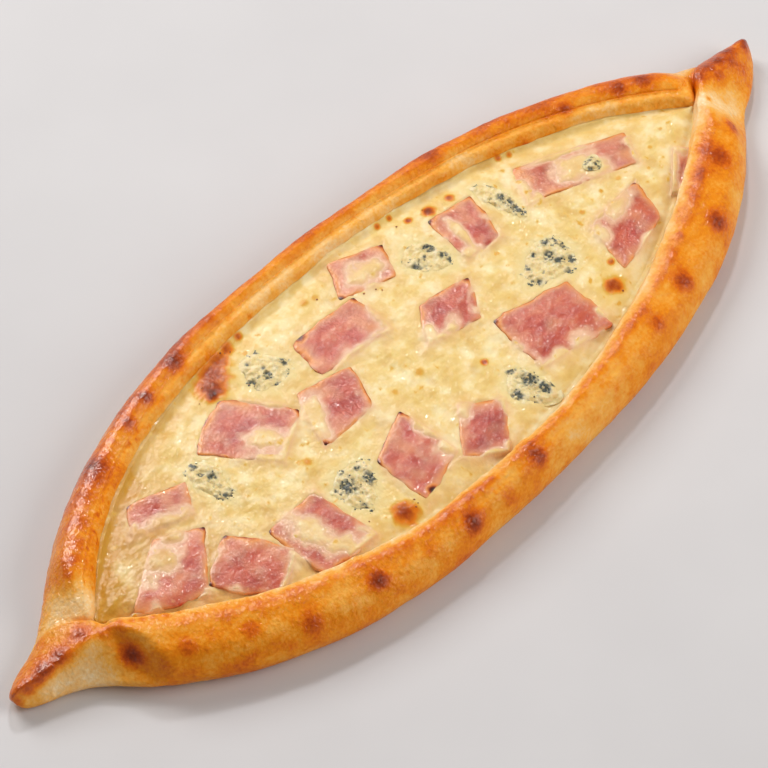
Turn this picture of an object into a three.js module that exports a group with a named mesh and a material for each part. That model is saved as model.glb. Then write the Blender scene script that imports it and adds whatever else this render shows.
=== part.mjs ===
// A pide: a boat of baked dough with its long edges folded in and its ends pinched and twisted shut,
// filled with melted cheese, and topped with pieces of sliced ham and patches of blue cheese.
// Millimetres, +Z up. X runs along the boat, and the boat rests on the plane z = 0.
import * as THREE from 'three';

// The boat's outline
const LENGTH = 400;
const HALF_LENGTH = LENGTH / 2;
const BELLY = { half: 69, x: -26, power: 2.5 };
const BELLY_NEAR = { left: { end: -185, fullness: 0.8 }, right: { end: 178, fullness: 0.7 } };
const BELLY_FAR = { left: { end: -185, fullness: 0.85 }, right: { end: 179, fullness: 0.7 } };
const NECK_BLEND = 9;
const LEFT_DRIFT = { end: 8.5, power: 4, side: 0 };
const RIGHT_DRIFT = { end: 12, power: 6, side: -3 };

// The opening between the folded edges, at the level of the cheese
const OPENING_LEFT_X = -161.5;
const OPENING_RIGHT_X = 156;
const OPENING_NEAR = { half: 54, x: -20, power: 2.05, fullness: 1 };
const OPENING_FAR = { half: 53.5, x: -20, power: 2.5, fullness: 0.85 };

// The rim's section
const CREST_NEAR = 20;
const CREST_FAR = 21;
const LIP_RUN_NEAR = 2;
const LIP_RUN_FAR = 4.8;
const LIP_DROP = 1.5;
const FOOT_TUCK = 7;
const FOOT_BULGE = { tuck: 0.25, rise: 0.35 };
const BULGE_Z = 8.5;
const FLOOR_Z = 6;
const FLOOR_CORNER = { inset: 1.5, share: 0.3, drop: 0.6 };
const FLOOR_EDGE = { inset: 5, share: 0.6 };
const CHEESE_EDGE_Z = 13;

// The rim between the lip and the outline: shares of that distance, and of the crest's height
const RIM_TOP = [[0.86, 0.76], [0.6, 0.95], [0.32, 1]];

// The unevenness of a hand-folded edge: waves along the boat, and where each side's start
const EDGE_WOBBLE = 0.45;
const EDGE_WAVES = [{ run: 23, size: 1, turn: 1 }, { run: 11, size: 0.6, turn: 2.1 }];
const NEAR_PHASE = { lip: 0.4, crest: 1.7 };
const FAR_PHASE = { lip: 2.6, crest: 3.9 };

// The pinched tips, where the near edge is folded over the far one
const TIP_SLOPE = 0.22;
const TIP_NOSE = 3.2;
const TIP_CREST = 18.5;
const TIP_END_CREST = 12;
const TIP_CREST_RUN = 38;
const TIP_LIFT = 2.5;
const TIP_LIFT_RUN = 25;
const NOSE_RUN = 4.5;
const NOSE_Z = 7;
const FAR_JOIN = { inside: 9, outside: 9 };
const CREASE_END = 0.9;
const NEAR_PINCH_RUN = 18;
const FOLD_STEP = 0.15;
const FOLD_STEP_FADE = 0.75;
const FOLD_DROP = 0.55;
const FOLD_ROUNDNESS = 2.2;

// A tip's section, in shares of its half-width and height: its foot and edge, then the wall up to the crest,
// then how far along the folded top, and along the flank that is folded under, the points lie
const TIP_FOOT = [[0.55, 0], [0.88, 0.13]];
const TIP_EDGE = 0.34;
const FOLD_RUNS = [0, 0.3, 0.55, 0.76, 0.92];
const FLANK_RUNS = [0, 0.2, 0.4, 0.57, 0.71, 0.82, 0.9, 0.96];
const LEFT_TIP = {
  crest: 0.2,
  nearHalf: 0.8,
  wall: [[0.8, 0.47], [0.52, 0.7]],
  crease: { from: 0, to: 16, start: 0, power: 1.1 },
  join: { inside: 5, outside: 2 },
};
const RIGHT_TIP = {
  crest: -0.15,
  nearHalf: 0.95,
  wall: [[0.72, 0.54], [0.3, 0.8]],
  crease: { from: -4, to: 22, start: 0.02, power: 1.5 },
  join: { inside: 4, outside: 13 },
};

// The filling and what lies on it
const CHEESE_DOME = 1.3;
const CHEESE_RIPPLE = { height: 0.35, runX: 13, runY: 11, startX: 0.7, startY: -0.4 };
const CHEESE_CLEARANCE = 0.5;
const CHEESE_END_MARGIN = 6;
const LAY_GAP = 0.5;
const HAM_THICKNESS = 1.8;
const BLUE_THICKNESS = 2.2;

// How finely the surfaces are cut
const STATIONS = 55;
const STATION_EVENNESS = 0.55;
const SAMPLES_PER_SPAN = 2;
const CHEESE_COLUMNS = 10;
const EDGE_POINTS = 4;
const BLUE_POINTS = 16;

// Each piece of ham: its middle, the turn of its long side, its sides, how far its short side leans from
// square, and how much wider it gets towards the end that the long side points to.
const HAM_PIECES = [
  { x: -113.5, y: 20.5, turn: -22, length: 24, width: 14.5, lean: -11, taper: 0 },
  { x: -129, y: 0, turn: 38, length: 30, width: 20.5, lean: 22, taper: -0.19 },
  { x: -110.5, y: -17, turn: -57, length: 23.5, width: 19.5, lean: -5, taper: -0.07 },
  { x: -83, y: -27, turn: -87, length: 26.5, width: 24, lean: -7, taper: 0 },
  { x: -67.5, y: 20.5, turn: -56, length: 32, width: 26, lean: -7, taper: -0.03 },
  { x: 13.5, y: 39.5, turn: -21, length: 22.5, width: 17, lean: -11, taper: -0.05 },
  { x: -14.5, y: 25, turn: -5, length: 33, width: 20, lean: -4, taper: 0.08 },
  { x: -38, y: 5.5, turn: -7, length: 25, width: 24, lean: -18, taper: -0.12 },
  { x: 20, y: 3, turn: -13, length: 23.5, width: 19.5, lean: -23, taper: 0.04 },
  { x: -37, y: -30.5, turn: 18, length: 24.5, width: 26, lean: -18, taper: 0.08 },
  { x: -11.5, y: -40.5, turn: 46, length: 24, width: 17.5, lean: 7, taper: 0 },
  { x: 41, y: -28.5, turn: -12, length: 34, width: 27, lean: 4, taper: -0.04 },
  { x: 95, y: -18.5, turn: 8, length: 29, width: 22, lean: -26, taper: -0.11 },
  { x: 103, y: 13, turn: -24, length: 46, width: 17.5, lean: -7, taper: -0.08 },
  { x: 54, y: 24, turn: 76, length: 23.5, width: 19, lean: 5, taper: 0.11 },
  { x: 125.5, y: -14, turn: 38, length: 19.5, width: 5, lean: 5, taper: 0 },
];
const CORNER_ROUNDING = 0.05;

// Each patch of blue cheese: its middle, its turn and its sides. One lies on a piece of ham.
const BLUE_PATCHES = [
  { x: -43.5, y: 35, turn: -51, length: 24, width: 21 },
  { x: -92.5, y: 16.5, turn: -92, length: 27, width: 14.5 },
  { x: -60, y: -23.5, turn: 41, length: 27.5, width: 20 },
  { x: 13.5, y: -40.5, turn: -73, length: 25, width: 18 },
  { x: 61.5, y: -8.5, turn: 10, length: 30, width: 23 },
  { x: 72, y: 25, turn: -86, length: 31, width: 11 },
  { x: 33.5, y: 26, turn: -56, length: 25, width: 18 },
  { x: 107.5, y: 9, turn: 20, length: 9, width: 7, onHam: true },
];
const BLUE_LOBES = { count: 3, depth: 0.1 };

const { clamp, lerp, smoothstep, degToRad } = THREE.MathUtils;

// The larger of two lengths, with the corner between them rounded over a blend length.
function smoothMax(a, b, blend) {
  const share = clamp(0.5 + (0.5 * (a - b)) / blend, 0, 1);
  return lerp(b, a, share) + blend * share * (1 - share);
}

// Half the width of a lens shape at x: full at its middle, shut at its end.
function lensHalf(x, lens, end, fullness) {
  const share = clamp((x - lens.x) / (end - lens.x), 0, 1);
  return lens.half * Math.pow(1 - Math.pow(share, lens.power), fullness);
}

// Half the width of the opening at x, on its near side (-Y) or its far side.
function openingHalf(x, near) {
  const lens = near ? OPENING_NEAR : OPENING_FAR;
  return lensHalf(x, lens, x < lens.x ? OPENING_LEFT_X : OPENING_RIGHT_X, lens.fullness);
}

const tipDistance = (x) => HALF_LENGTH - Math.abs(x);

// Half the width of the whole boat at x, on its near side (-Y) or its far side: the body's lens joined softly
// to the cone of each tip.
function boatHalf(x, near) {
  const ends = near ? BELLY_NEAR : BELLY_FAR;
  const side = x < BELLY.x ? ends.left : ends.right;
  const body = lensHalf(x, BELLY, side.end, side.fullness);
  const distance = tipDistance(x);
  const tip = Math.sqrt((TIP_SLOPE * distance) ** 2 + 2 * TIP_NOSE * distance);
  const tipFade = 1 - smoothstep(distance, TIP_CREST_RUN, 2 * TIP_CREST_RUN);
  return smoothMax(body, tip * tipFade, Math.min(NECK_BLEND, distance));
}

// The middle line of the boat, which bends a little towards +Y at both tips.
function middleY(x) {
  const share = Math.abs(x) / HALF_LENGTH;
  const drift = x < 0 ? LEFT_DRIFT : RIGHT_DRIFT;
  return drift.end * share ** drift.power + drift.side * share;
}

// Small unevenness of a hand-folded edge along the boat.
function edgeWobble(x, phase) {
  const wave = ({ run, size, turn }) => size * Math.sin(x / run + turn * phase);
  return EDGE_WAVES.reduce((sum, each) => sum + EDGE_WOBBLE * wave(each), 0);
}

// Half of a section across the body, from the foot up over the crest and the lip and down to the floor,
// as distances out from the middle line and heights.
function bodySide(x, near) {
  const outer = boatHalf(x, near);
  const opening = openingHalf(x, near);
  const phase = near ? NEAR_PHASE : FAR_PHASE;
  const lip = opening + (near ? LIP_RUN_NEAR : LIP_RUN_FAR) + edgeWobble(x, phase.lip);
  const height = (near ? CREST_NEAR : CREST_FAR) + edgeWobble(x, phase.crest);
  const inset = (corner) => opening - Math.min(corner.inset, corner.share * opening);
  return [
    [outer - FOOT_TUCK, 0],
    [outer - FOOT_BULGE.tuck * FOOT_TUCK, FOOT_BULGE.rise * BULGE_Z],
    [outer, BULGE_Z],
    ...RIM_TOP.map(([run, rise]) => [lerp(lip, outer, run), rise * height]),
    [lip, height - LIP_DROP],
    [opening, CHEESE_EDGE_Z],
    [inset(FLOOR_CORNER), lerp(CHEESE_EDGE_Z, FLOOR_Z, FLOOR_CORNER.drop)],
    [inset(FLOOR_EDGE), FLOOR_Z],
  ];
}

function tipHeight(x) {
  return lerp(TIP_END_CREST, TIP_CREST, smoothstep(tipDistance(x), 0, TIP_CREST_RUN));
}

const tipOf = (x) => (x < 0 ? LEFT_TIP : RIGHT_TIP);

// How far x lies beyond the end of the opening.
function beyondOpening(x) {
  return x < 0 ? OPENING_LEFT_X - x : x - OPENING_RIGHT_X;
}

// Where the fold's crease lies across a tip, as a share of its half-width towards the far edge: it starts in
// the middle at the end of the opening and runs out to that edge.
function creaseShare(x) {
  const { from, to, start, power } = tipOf(x).crease;
  const run = clamp((beyondOpening(x) - from) / (to - from), 0, 1);
  return lerp(start, CREASE_END, Math.pow(run, power));
}

// The height of the folded top across a tip, as a share of the tip's height, at a share of its half-width.
function foldTop(x, share) {
  const { crest } = tipOf(x);
  const run = Math.max(crest - share, 0) / (1 + crest);
  return 1 - FOLD_DROP * Math.pow(run, FOLD_ROUNDNESS);
}

// The height of the crease as a share of the tip's height: a step below the folded top.
function creaseHeight(x) {
  const crease = creaseShare(x);
  return foldTop(x, -crease) - FOLD_STEP * (1 - FOLD_STEP_FADE * crease);
}

// The near half of a section across a tip, in shares of its half-width and height: a wall, a crest and the
// folded top as far as the crease.
function tipNear(x) {
  const { crest, nearHalf, wall } = tipOf(x);
  const pinch = lerp(1, nearHalf, smoothstep(beyondOpening(x), 0, NEAR_PINCH_RUN));
  const side = [...TIP_FOOT, [1, TIP_EDGE], ...wall].map(([out, up]) => [out * pinch, up]);
  const crease = creaseShare(x);
  const top = FOLD_RUNS.map((run) => {
    const share = lerp(crest, -crease, run);
    return [share, foldTop(x, share)];
  });
  return [...side, ...top];
}

// The far half of the section, from the foot up the flank of the edge that is folded under to the crease.
function tipFar(x) {
  const crease = creaseShare(x);
  const flank = FLANK_RUNS.map((run) => {
    return [lerp(1, crease, run), lerp(TIP_EDGE, creaseHeight(x), Math.sqrt(run))];
  });
  return [...TIP_FOOT, ...flank];
}

// How far a section has changed from the open body to the pinched tip, from 0 to 1.
function tipShare(x, join) {
  return smoothstep(beyondOpening(x), -join.inside, join.outside);
}

// The control points of one whole section, from the middle of the underside round by the near edge (-Y),
// the floor of the opening and the far edge.
function sectionPoints(x) {
  const height = tipHeight(x);
  const change = (body, tip, half, join) => body.map(([out, up], i) => {
    const share = tipShare(x, join);
    return [lerp(out, tip[i][0] * half, share), lerp(up, tip[i][1] * height, share)];
  });
  const { join } = tipOf(x);
  const farHalf = boatHalf(x, false);
  const near = change(bodySide(x, true), tipNear(x), boatHalf(x, true), join);
  const far = change(bodySide(x, false), tipFar(x), farHalf, FAR_JOIN);
  const [crease] = change([[0, FLOOR_Z]], [[creaseShare(x), creaseHeight(x)]], farHalf, join);
  return [[0, 0], ...near.map(([out, up]) => [-out, up]), crease, ...far.reverse()];
}

// The underside's rise off the surface near a tip.
function tipLift(x) {
  const share = clamp(1 - tipDistance(x) / TIP_LIFT_RUN, 0, 1);
  return TIP_LIFT * share * share;
}

// One smooth closed section at x, with the tip's end rounded off in height as well as in width.
function doughSection(x) {
  const middle = middleY(x);
  const lift = tipLift(x);
  const noseShare = clamp(tipDistance(x) / NOSE_RUN, 0, 1);
  const roundness = Math.sqrt(noseShare * (2 - noseShare));
  const points = sectionPoints(x).map(([y, z]) => new THREE.Vector3(x, middle + y, z));
  const curve = new THREE.CatmullRomCurve3(points, true, 'centripetal');
  const section = curve.getPoints(points.length * SAMPLES_PER_SPAN).slice(0, -1);
  for (const point of section) {
    const grounded = Math.max(point.z, 0);
    const lifted = Math.max(grounded, lift);
    point.z = lerp(NOSE_Z, lifted, roundness);
  }
  return section;
}

// Places along the boat, closer together towards the tips.
function stationX(i) {
  const even = (2 * i) / (STATIONS + 1) - 1;
  const bunched = Math.sin((even * Math.PI) / 2);
  return HALF_LENGTH * lerp(bunched, even, STATION_EVENNESS);
}

// A closed skin through equal rings of points, shut at each end by a fan to a single point.
function loftedGeometry(rings, firstPole, lastPole) {
  const count = rings[0].length;
  const points = [firstPole, ...rings.flat(), lastPole];
  const last = points.length - 1;
  const at = (ring, i) => 1 + ring * count + (i % count);
  const triangles = [];
  for (let i = 0; i < count; i += 1) {
    triangles.push(0, at(0, i), at(0, i + 1));
    for (let ring = 0; ring + 1 < rings.length; ring += 1) {
      triangles.push(at(ring, i), at(ring + 1, i), at(ring + 1, i + 1));
      triangles.push(at(ring, i), at(ring + 1, i + 1), at(ring, i + 1));
    }
    triangles.push(last, at(rings.length - 1, i + 1), at(rings.length - 1, i));
  }
  return closedGeometry(points, triangles);
}

function closedGeometry(points, triangles) {
  const geometry = new THREE.BufferGeometry().setFromPoints(points);
  geometry.setIndex(triangles);
  geometry.computeVertexNormals();
  return geometry;
}

const stations = Array.from({ length: STATIONS }, (_, i) => stationX(i + 1));

function doughGeometry() {
  const pole = (x) => new THREE.Vector3(x, middleY(x), NOSE_Z);
  return loftedGeometry(stations.map(doughSection), pole(-HALF_LENGTH), pole(HALF_LENGTH));
}

// The height of the melted cheese: a low dome with slow ripples.
function cheeseTop(x, y) {
  const across = y - middleY(x);
  const wall = Math.max(openingHalf(x, across < 0), 1);
  const dome = CHEESE_DOME * (1 - Math.min(1, (across / wall) ** 2));
  const { height, runX, runY, startX, startY } = CHEESE_RIPPLE;
  const ripple = height * Math.sin(x / runX + startX) * Math.cos(y / runY + startY);
  return CHEESE_EDGE_Z + dome + ripple * Math.min(1, dome);
}

// Which control point of a section is where the wall of the opening meets the top of the filling.
const WALL_POINT = 8;

// The section of the filling at x: the trough of the dough drawn in by a small clearance, under a top
// that runs from wall to wall.
function cheeseSection(x) {
  const section = doughSection(x);
  const firstWall = WALL_POINT * SAMPLES_PER_SPAN;
  const trough = section.slice(firstWall, section.length - firstWall + 1);
  const ends = [trough[0], trough[trough.length - 1]];
  const middle = (ends[0].y + ends[1].y) / 2;
  const half = (ends[1].y - ends[0].y) / 2;
  const inset = 1 - CHEESE_CLEARANCE / half;
  const drawIn = (y) => middle + (y - middle) * inset;
  const ring = trough.map((p) => new THREE.Vector3(x, drawIn(p.y), p.z + CHEESE_CLEARANCE));
  for (let i = CHEESE_COLUMNS; i >= 0; i -= 1) {
    const y = drawIn(lerp(ends[0].y, ends[1].y, i / CHEESE_COLUMNS));
    const top = new THREE.Vector3(x, y, Math.max(cheeseTop(x, y), CHEESE_EDGE_Z) + 2 * CHEESE_CLEARANCE);
    ring.push(top);
  }
  return ring.reverse();
}

function cheeseGeometry() {
  const first = OPENING_LEFT_X + CHEESE_END_MARGIN;
  const last = OPENING_RIGHT_X - CHEESE_END_MARGIN;
  const inside = stations.filter((x) => x > first && x < last);
  const rings = inside.map(cheeseSection);
  const endMiddle = (ring) => {
    const middle = new THREE.Vector3();
    ring.forEach((point) => middle.add(point));
    return middle.divideScalar(ring.length);
  };
  return loftedGeometry(rings, endMiddle(rings[0]), endMiddle(rings[rings.length - 1]));
}

// A thin piece lying on a surface: its outline drawn in to a middle ring and a centre, on both faces.
// The crown gives the share of the full thickness at the outline, the middle ring and the centre.
function laidGeometry(outline, thickness, base, crown) {
  const count = outline.length;
  const centre = new THREE.Vector2();
  outline.forEach((point) => centre.add(point));
  centre.divideScalar(count);
  const middleRing = outline.map((point) => centre.clone().lerp(point, 0.55));
  const raise = (point, share) => {
    return new THREE.Vector3(point.x, point.y, base(point.x, point.y) + share * thickness);
  };
  const face = (shares) => [
    outline.map((point) => raise(point, shares[0])),
    middleRing.map((point) => raise(point, shares[1])),
  ];
  const [lowerEdge, lowerRing] = face([0, 0]);
  const [upperEdge, upperRing] = face(crown);
  const rings = [upperRing, upperEdge, lowerEdge, lowerRing];
  return loftedGeometry(rings, raise(centre, crown[2]), raise(centre, 0));
}

const cheeseSurface = (x, y) => Math.max(cheeseTop(x, y), CHEESE_EDGE_Z) + 2 * CHEESE_CLEARANCE;
const onCheese = (x, y) => cheeseSurface(x, y) + LAY_GAP;
const onHam = (x, y) => onCheese(x, y) + HAM_THICKNESS + LAY_GAP;

// The outline of a piece of ham, anticlockwise, with its corners eased.
function hamOutline({ x, y, turn, length, width, lean, taper }) {
  const long = new THREE.Vector2(length / 2, 0).rotateAround(new THREE.Vector2(), degToRad(turn));
  const short = new THREE.Vector2(width / 2, 0);
  short.rotateAround(new THREE.Vector2(), degToRad(turn + 90 + lean));
  const corners = [[-1, -1], [1, -1], [1, 1], [-1, 1]];
  const place = (a, b) => {
    const easing = 1 - CORNER_ROUNDING * a * a * b * b;
    const across = b * easing * (1 + taper * a);
    return new THREE.Vector2(x, y).addScaledVector(long, a * easing).addScaledVector(short, across);
  };
  return corners.flatMap(([a, b], i) => {
    const [nextA, nextB] = corners[(i + 1) % corners.length];
    return Array.from({ length: EDGE_POINTS }, (_, k) => {
      const share = k / EDGE_POINTS;
      return place(lerp(a, nextA, share), lerp(b, nextB, share));
    });
  });
}

// The lobed outline of a melted patch, anticlockwise.
function blueOutline({ x, y, turn, length, width }) {
  return Array.from({ length: BLUE_POINTS }, (_, i) => {
    const angle = (i / BLUE_POINTS) * 2 * Math.PI;
    const reach = 1 + BLUE_LOBES.depth * Math.sin(BLUE_LOBES.count * angle + x);
    const point = new THREE.Vector2(Math.cos(angle) * length, Math.sin(angle) * width);
    point.multiplyScalar((0.5 * reach) / (1 + BLUE_LOBES.depth));
    return point.rotateAround(new THREE.Vector2(), degToRad(turn)).add(new THREE.Vector2(x, y));
  });
}

const crustMaterial = new THREE.MeshStandardMaterial({ color: 0xd98c35, roughness: 0.45, metalness: 0 });
const cheeseMaterial = new THREE.MeshStandardMaterial({ color: 0xeed9a0, roughness: 0.4, metalness: 0 });
const hamMaterial = new THREE.MeshStandardMaterial({ color: 0xd07a78, roughness: 0.45, metalness: 0 });
const blueMaterial = new THREE.MeshStandardMaterial({ color: 0xc4c0a0, roughness: 0.55, metalness: 0 });

function namedMesh(name, geometry, material) {
  const mesh = new THREE.Mesh(geometry, material);
  mesh.name = name;
  return mesh;
}

const pide = new THREE.Group();
pide.add(namedMesh('dough', doughGeometry(), crustMaterial));
pide.add(namedMesh('cheese', cheeseGeometry(), cheeseMaterial));
HAM_PIECES.forEach((piece, i) => {
  const geometry = laidGeometry(hamOutline(piece), HAM_THICKNESS, onCheese, [0.85, 1, 1]);
  pide.add(namedMesh(`ham_${String(i + 1).padStart(2, '0')}`, geometry, hamMaterial));
});
BLUE_PATCHES.forEach((patch, i) => {
  const base = patch.onHam ? onHam : onCheese;
  const geometry = laidGeometry(blueOutline(patch), BLUE_THICKNESS, base, [0.35, 0.85, 1]);
  pide.add(namedMesh(`blue_cheese_${i + 1}`, geometry, blueMaterial));
});

export default pide;
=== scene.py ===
"""A baked pide: a boat of golden dough filled with melted cheese, sliced ham and blue cheese."""

import logging
import math
from dataclasses import dataclass
from enum import Enum
from itertools import product
from typing import Any

import bpy
import numpy as np
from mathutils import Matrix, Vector


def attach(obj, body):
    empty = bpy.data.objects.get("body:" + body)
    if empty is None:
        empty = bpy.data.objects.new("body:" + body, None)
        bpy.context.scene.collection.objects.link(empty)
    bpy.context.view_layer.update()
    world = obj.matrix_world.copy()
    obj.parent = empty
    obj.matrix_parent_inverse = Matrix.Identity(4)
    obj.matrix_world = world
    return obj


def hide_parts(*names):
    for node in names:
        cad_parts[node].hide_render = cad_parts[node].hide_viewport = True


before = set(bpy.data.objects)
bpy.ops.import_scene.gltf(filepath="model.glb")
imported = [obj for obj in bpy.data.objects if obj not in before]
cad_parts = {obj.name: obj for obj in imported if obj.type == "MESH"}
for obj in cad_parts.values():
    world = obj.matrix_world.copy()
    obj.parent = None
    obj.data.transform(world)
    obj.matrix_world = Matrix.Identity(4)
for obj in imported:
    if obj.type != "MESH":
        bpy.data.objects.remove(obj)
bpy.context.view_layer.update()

Array = np.ndarray
Tree = bpy.types.NodeTree
Socket = bpy.types.NodeSocket
Material = bpy.types.Material
Piece = bpy.types.Object
Stops = tuple[tuple[float, str], ...]
Pairs = tuple[tuple[float, float], ...]
Triple = tuple[float, float, float]
Sockets = dict[str, Socket]
Patterns = tuple[tuple[str, float, float, float], ...]
Faces = list[list[int]]
MM = 0.001
LOG = logging.getLogger("pide")


def smoothstep(value: Array | float, low: float, high: float) -> Array:
    """Eases a value from 0 at low to 1 at high."""
    share = np.clip((np.asarray(value) - low) / (high - low), 0, 1)
    return share * share * (3 - 2 * share)


def lerp(start: Array | float, end: Array | float, share: Array | float) -> Array:
    """Goes from start to end by a share."""
    return start + (end - start) * share


def bell(value: Array) -> Array:
    """Gives 1 at 0, and falls softly to nothing on both sides."""
    return np.exp(-value ** 2)


def fading(distance: Array, run: float) -> Array:
    """Gives 1 at an edge, and falls away by a factor of e with each run inwards."""
    return np.exp(-np.maximum(distance, 0) / run)


def linear(code: str) -> tuple[float, float, float, float]:
    """Turns an sRGB hex colour into the linear colour that Blender reads.

    Args:
        code: Six hex digits after a hash sign.

    Returns:
        Red, green, blue and a full alpha.
    """
    parts = [int(code[i:i + 2], 16) / 255 for i in (1, 3, 5)]
    return (*(p / 12.92 if p <= 0.04045 else ((p + 0.055) / 1.055) ** 2.4 for p in parts), 1.0)


def per_mm(run: float) -> float:
    """Gives the texture scale at which one cell of a pattern is run millimetres long."""
    return 1 / (run * MM)


def add_node(
    tree: Tree,
    kind: str,
    props: dict[str, Any] | None = None,
    values: dict[str | int, Any] | None = None,
    links: dict[str | int, Socket] | None = None,
    stops: Stops = (),
) -> bpy.types.Node:
    """Adds one node with its settings and links.

    Args:
        tree: The tree that gets the node.
        kind: Blender's name of the node type.
        props: The node's own settings.
        values: Steady values of its inputs, by name or number.
        links: What feeds its inputs, by name or number.
        stops: Places and hex colours of a colour ramp.

    Returns:
        The new node.
    """
    node = tree.nodes.new(kind)
    for name, value in (props or {}).items():
        setattr(node, name, value)
    for key, value in (values or {}).items():
        node.inputs[key].default_value = value
    for key, socket in (links or {}).items():
        tree.links.new(socket, node.inputs[key])
    for i, (place, code) in enumerate(stops):
        marks = node.color_ramp.elements
        mark = marks[i] if i < len(marks) else marks.new(place)
        mark.position, mark.color = place, linear(code)
    return node


def add_object(name: str, data: bpy.types.ID) -> Piece:
    """Makes an object and puts it in the scene.

    Args:
        name: Its name.
        data: Its mesh, lamp or camera.

    Returns:
        The new object.
    """
    thing = bpy.data.objects.new(name, data)
    bpy.context.scene.collection.objects.link(thing)
    return thing


class Unevenness:
    """Smooth seeded noise, from about -1 to 1, over points in millimetres."""

    cells: int = 256
    gain: float = 1.6
    layer_shift: float = 37.0

    def __init__(self, seed: int) -> None:
        """Draws the noise's random slopes.

        Args:
            seed: The number that the draws start from.
        """
        dice = np.random.default_rng(seed)
        self.order = np.tile(dice.permutation(self.cells), 2)
        slopes = dice.normal(size=(self.cells, 3))
        self.slopes = slopes / np.linalg.norm(slopes, axis=1, keepdims=True)

    def at(self, points: Array, run: float) -> Array:
        """Reads the noise.

        Args:
            points: Any array of points, with x, y and z last.
            run: The length of one swell, in millimetres.

        Returns:
            One value for each point.
        """
        scaled = points.reshape(-1, 3) / run
        cell = np.floor(scaled).astype(int)
        inside = scaled - cell
        fade = inside ** 3 * (inside * (inside * 6 - 15) + 10)
        total = np.zeros(len(scaled))
        for corner in product((0, 1), repeat=3):
            x, y, z = ((cell + corner) % self.cells).T
            slope = self.slopes[self.order[self.order[self.order[x] + y] + z]]
            weight = np.where(corner, fade, 1 - fade).prod(axis=1)
            total += weight * ((inside - corner) * slope).sum(axis=1)
        return (self.gain * total).reshape(points.shape[:-1])

    def layered(self, points: Array, run: float, layers: int = 3) -> Array:
        """Adds finer and weaker layers to the noise.

        Args:
            points: Any array of points, with x, y and z last.
            run: The length of the longest swell, in millimetres.
            layers: How many layers, each half as long and half as strong as the one before.

        Returns:
            One value for each point.
        """
        return sum(self.at(points + self.layer_shift * i, run / 2 ** i) / 2 ** i for i in range(layers))


def loft(rings: Array, first: Array, last: Array) -> tuple[Array, Faces]:
    """Makes a closed skin through equal rings of points, shut by a fan at each end.

    Args:
        rings: Points by ring and by place round the ring.
        first: The point that shuts the first ring.
        last: The point that shuts the last ring.

    Returns:
        The points and the faces, which point outwards.
    """
    count, size = rings.shape[:2]
    points = np.concatenate([[first], rings.reshape(-1, 3), [last]])
    here = np.arange(size)
    after = (here + 1) % size
    start = 1 + size * np.arange(count - 1)[:, None]
    quads = np.stack([start + here, start + size + here, start + size + after, start + after], -1)
    end = 1 + size * (count - 1)
    head = np.stack([0 * here, 1 + here, 1 + after], -1)
    tail = np.stack([0 * here + len(points) - 1, end + after, end + here], -1)
    return points, quads.reshape(-1, 4).tolist() + head.tolist() + tail.tolist()


def ring_normals(rings: Array) -> Array:
    """Gives the outward direction at each point of a set of rings.

    Args:
        rings: Points by ring and by place round the ring.

    Returns:
        Unit vectors.
    """
    along = np.gradient(rings, axis=0)
    around = np.roll(rings, -1, axis=1) - np.roll(rings, 1, axis=1)
    normal = np.cross(along, around)
    return normal / np.maximum(np.linalg.norm(normal, axis=-1, keepdims=True), 1e-9)


def with_poles(values: Array) -> Array:
    """Lists values by ring as a loft lists its points, with a mean for each pole."""
    return np.concatenate([[values[0].mean()], values.ravel(), [values[-1].mean()]])


def make_piece(name: str, points: Array, faces: Faces, material: Material, looks: dict[str, Array]) -> Piece:
    """Makes a mesh piece at the origin from points in millimetres.

    Args:
        name: The piece's name.
        points: Its points.
        faces: Its faces.
        material: Its finish.
        looks: Values for each point that the finish reads, by attribute name.

    Returns:
        The new object.
    """
    mesh = bpy.data.meshes.new(name)
    mesh.from_pydata((points * MM).tolist(), [], faces)
    for attribute, values in looks.items():
        layer = mesh.attributes.new(attribute, "FLOAT", "POINT")
        layer.data.foreach_set("value", np.asarray(values, dtype=np.float32))
    mesh.shade_smooth()
    mesh.materials.append(material)
    return add_object(name, mesh)


def enter(piece: Piece, slot: str, *nodes: str) -> None:
    """Puts a piece in the scene: attaches it to the root and hides the nodes that it stands for.

    Args:
        piece: The finished piece.
        slot: Not used.
        nodes: The CAD nodes that it replaces.
    """
    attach(piece, "root")
    if nodes:
        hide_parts(*nodes)
    LOG.info("%s: %d faces", piece.name, len(piece.data.polygons))


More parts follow.
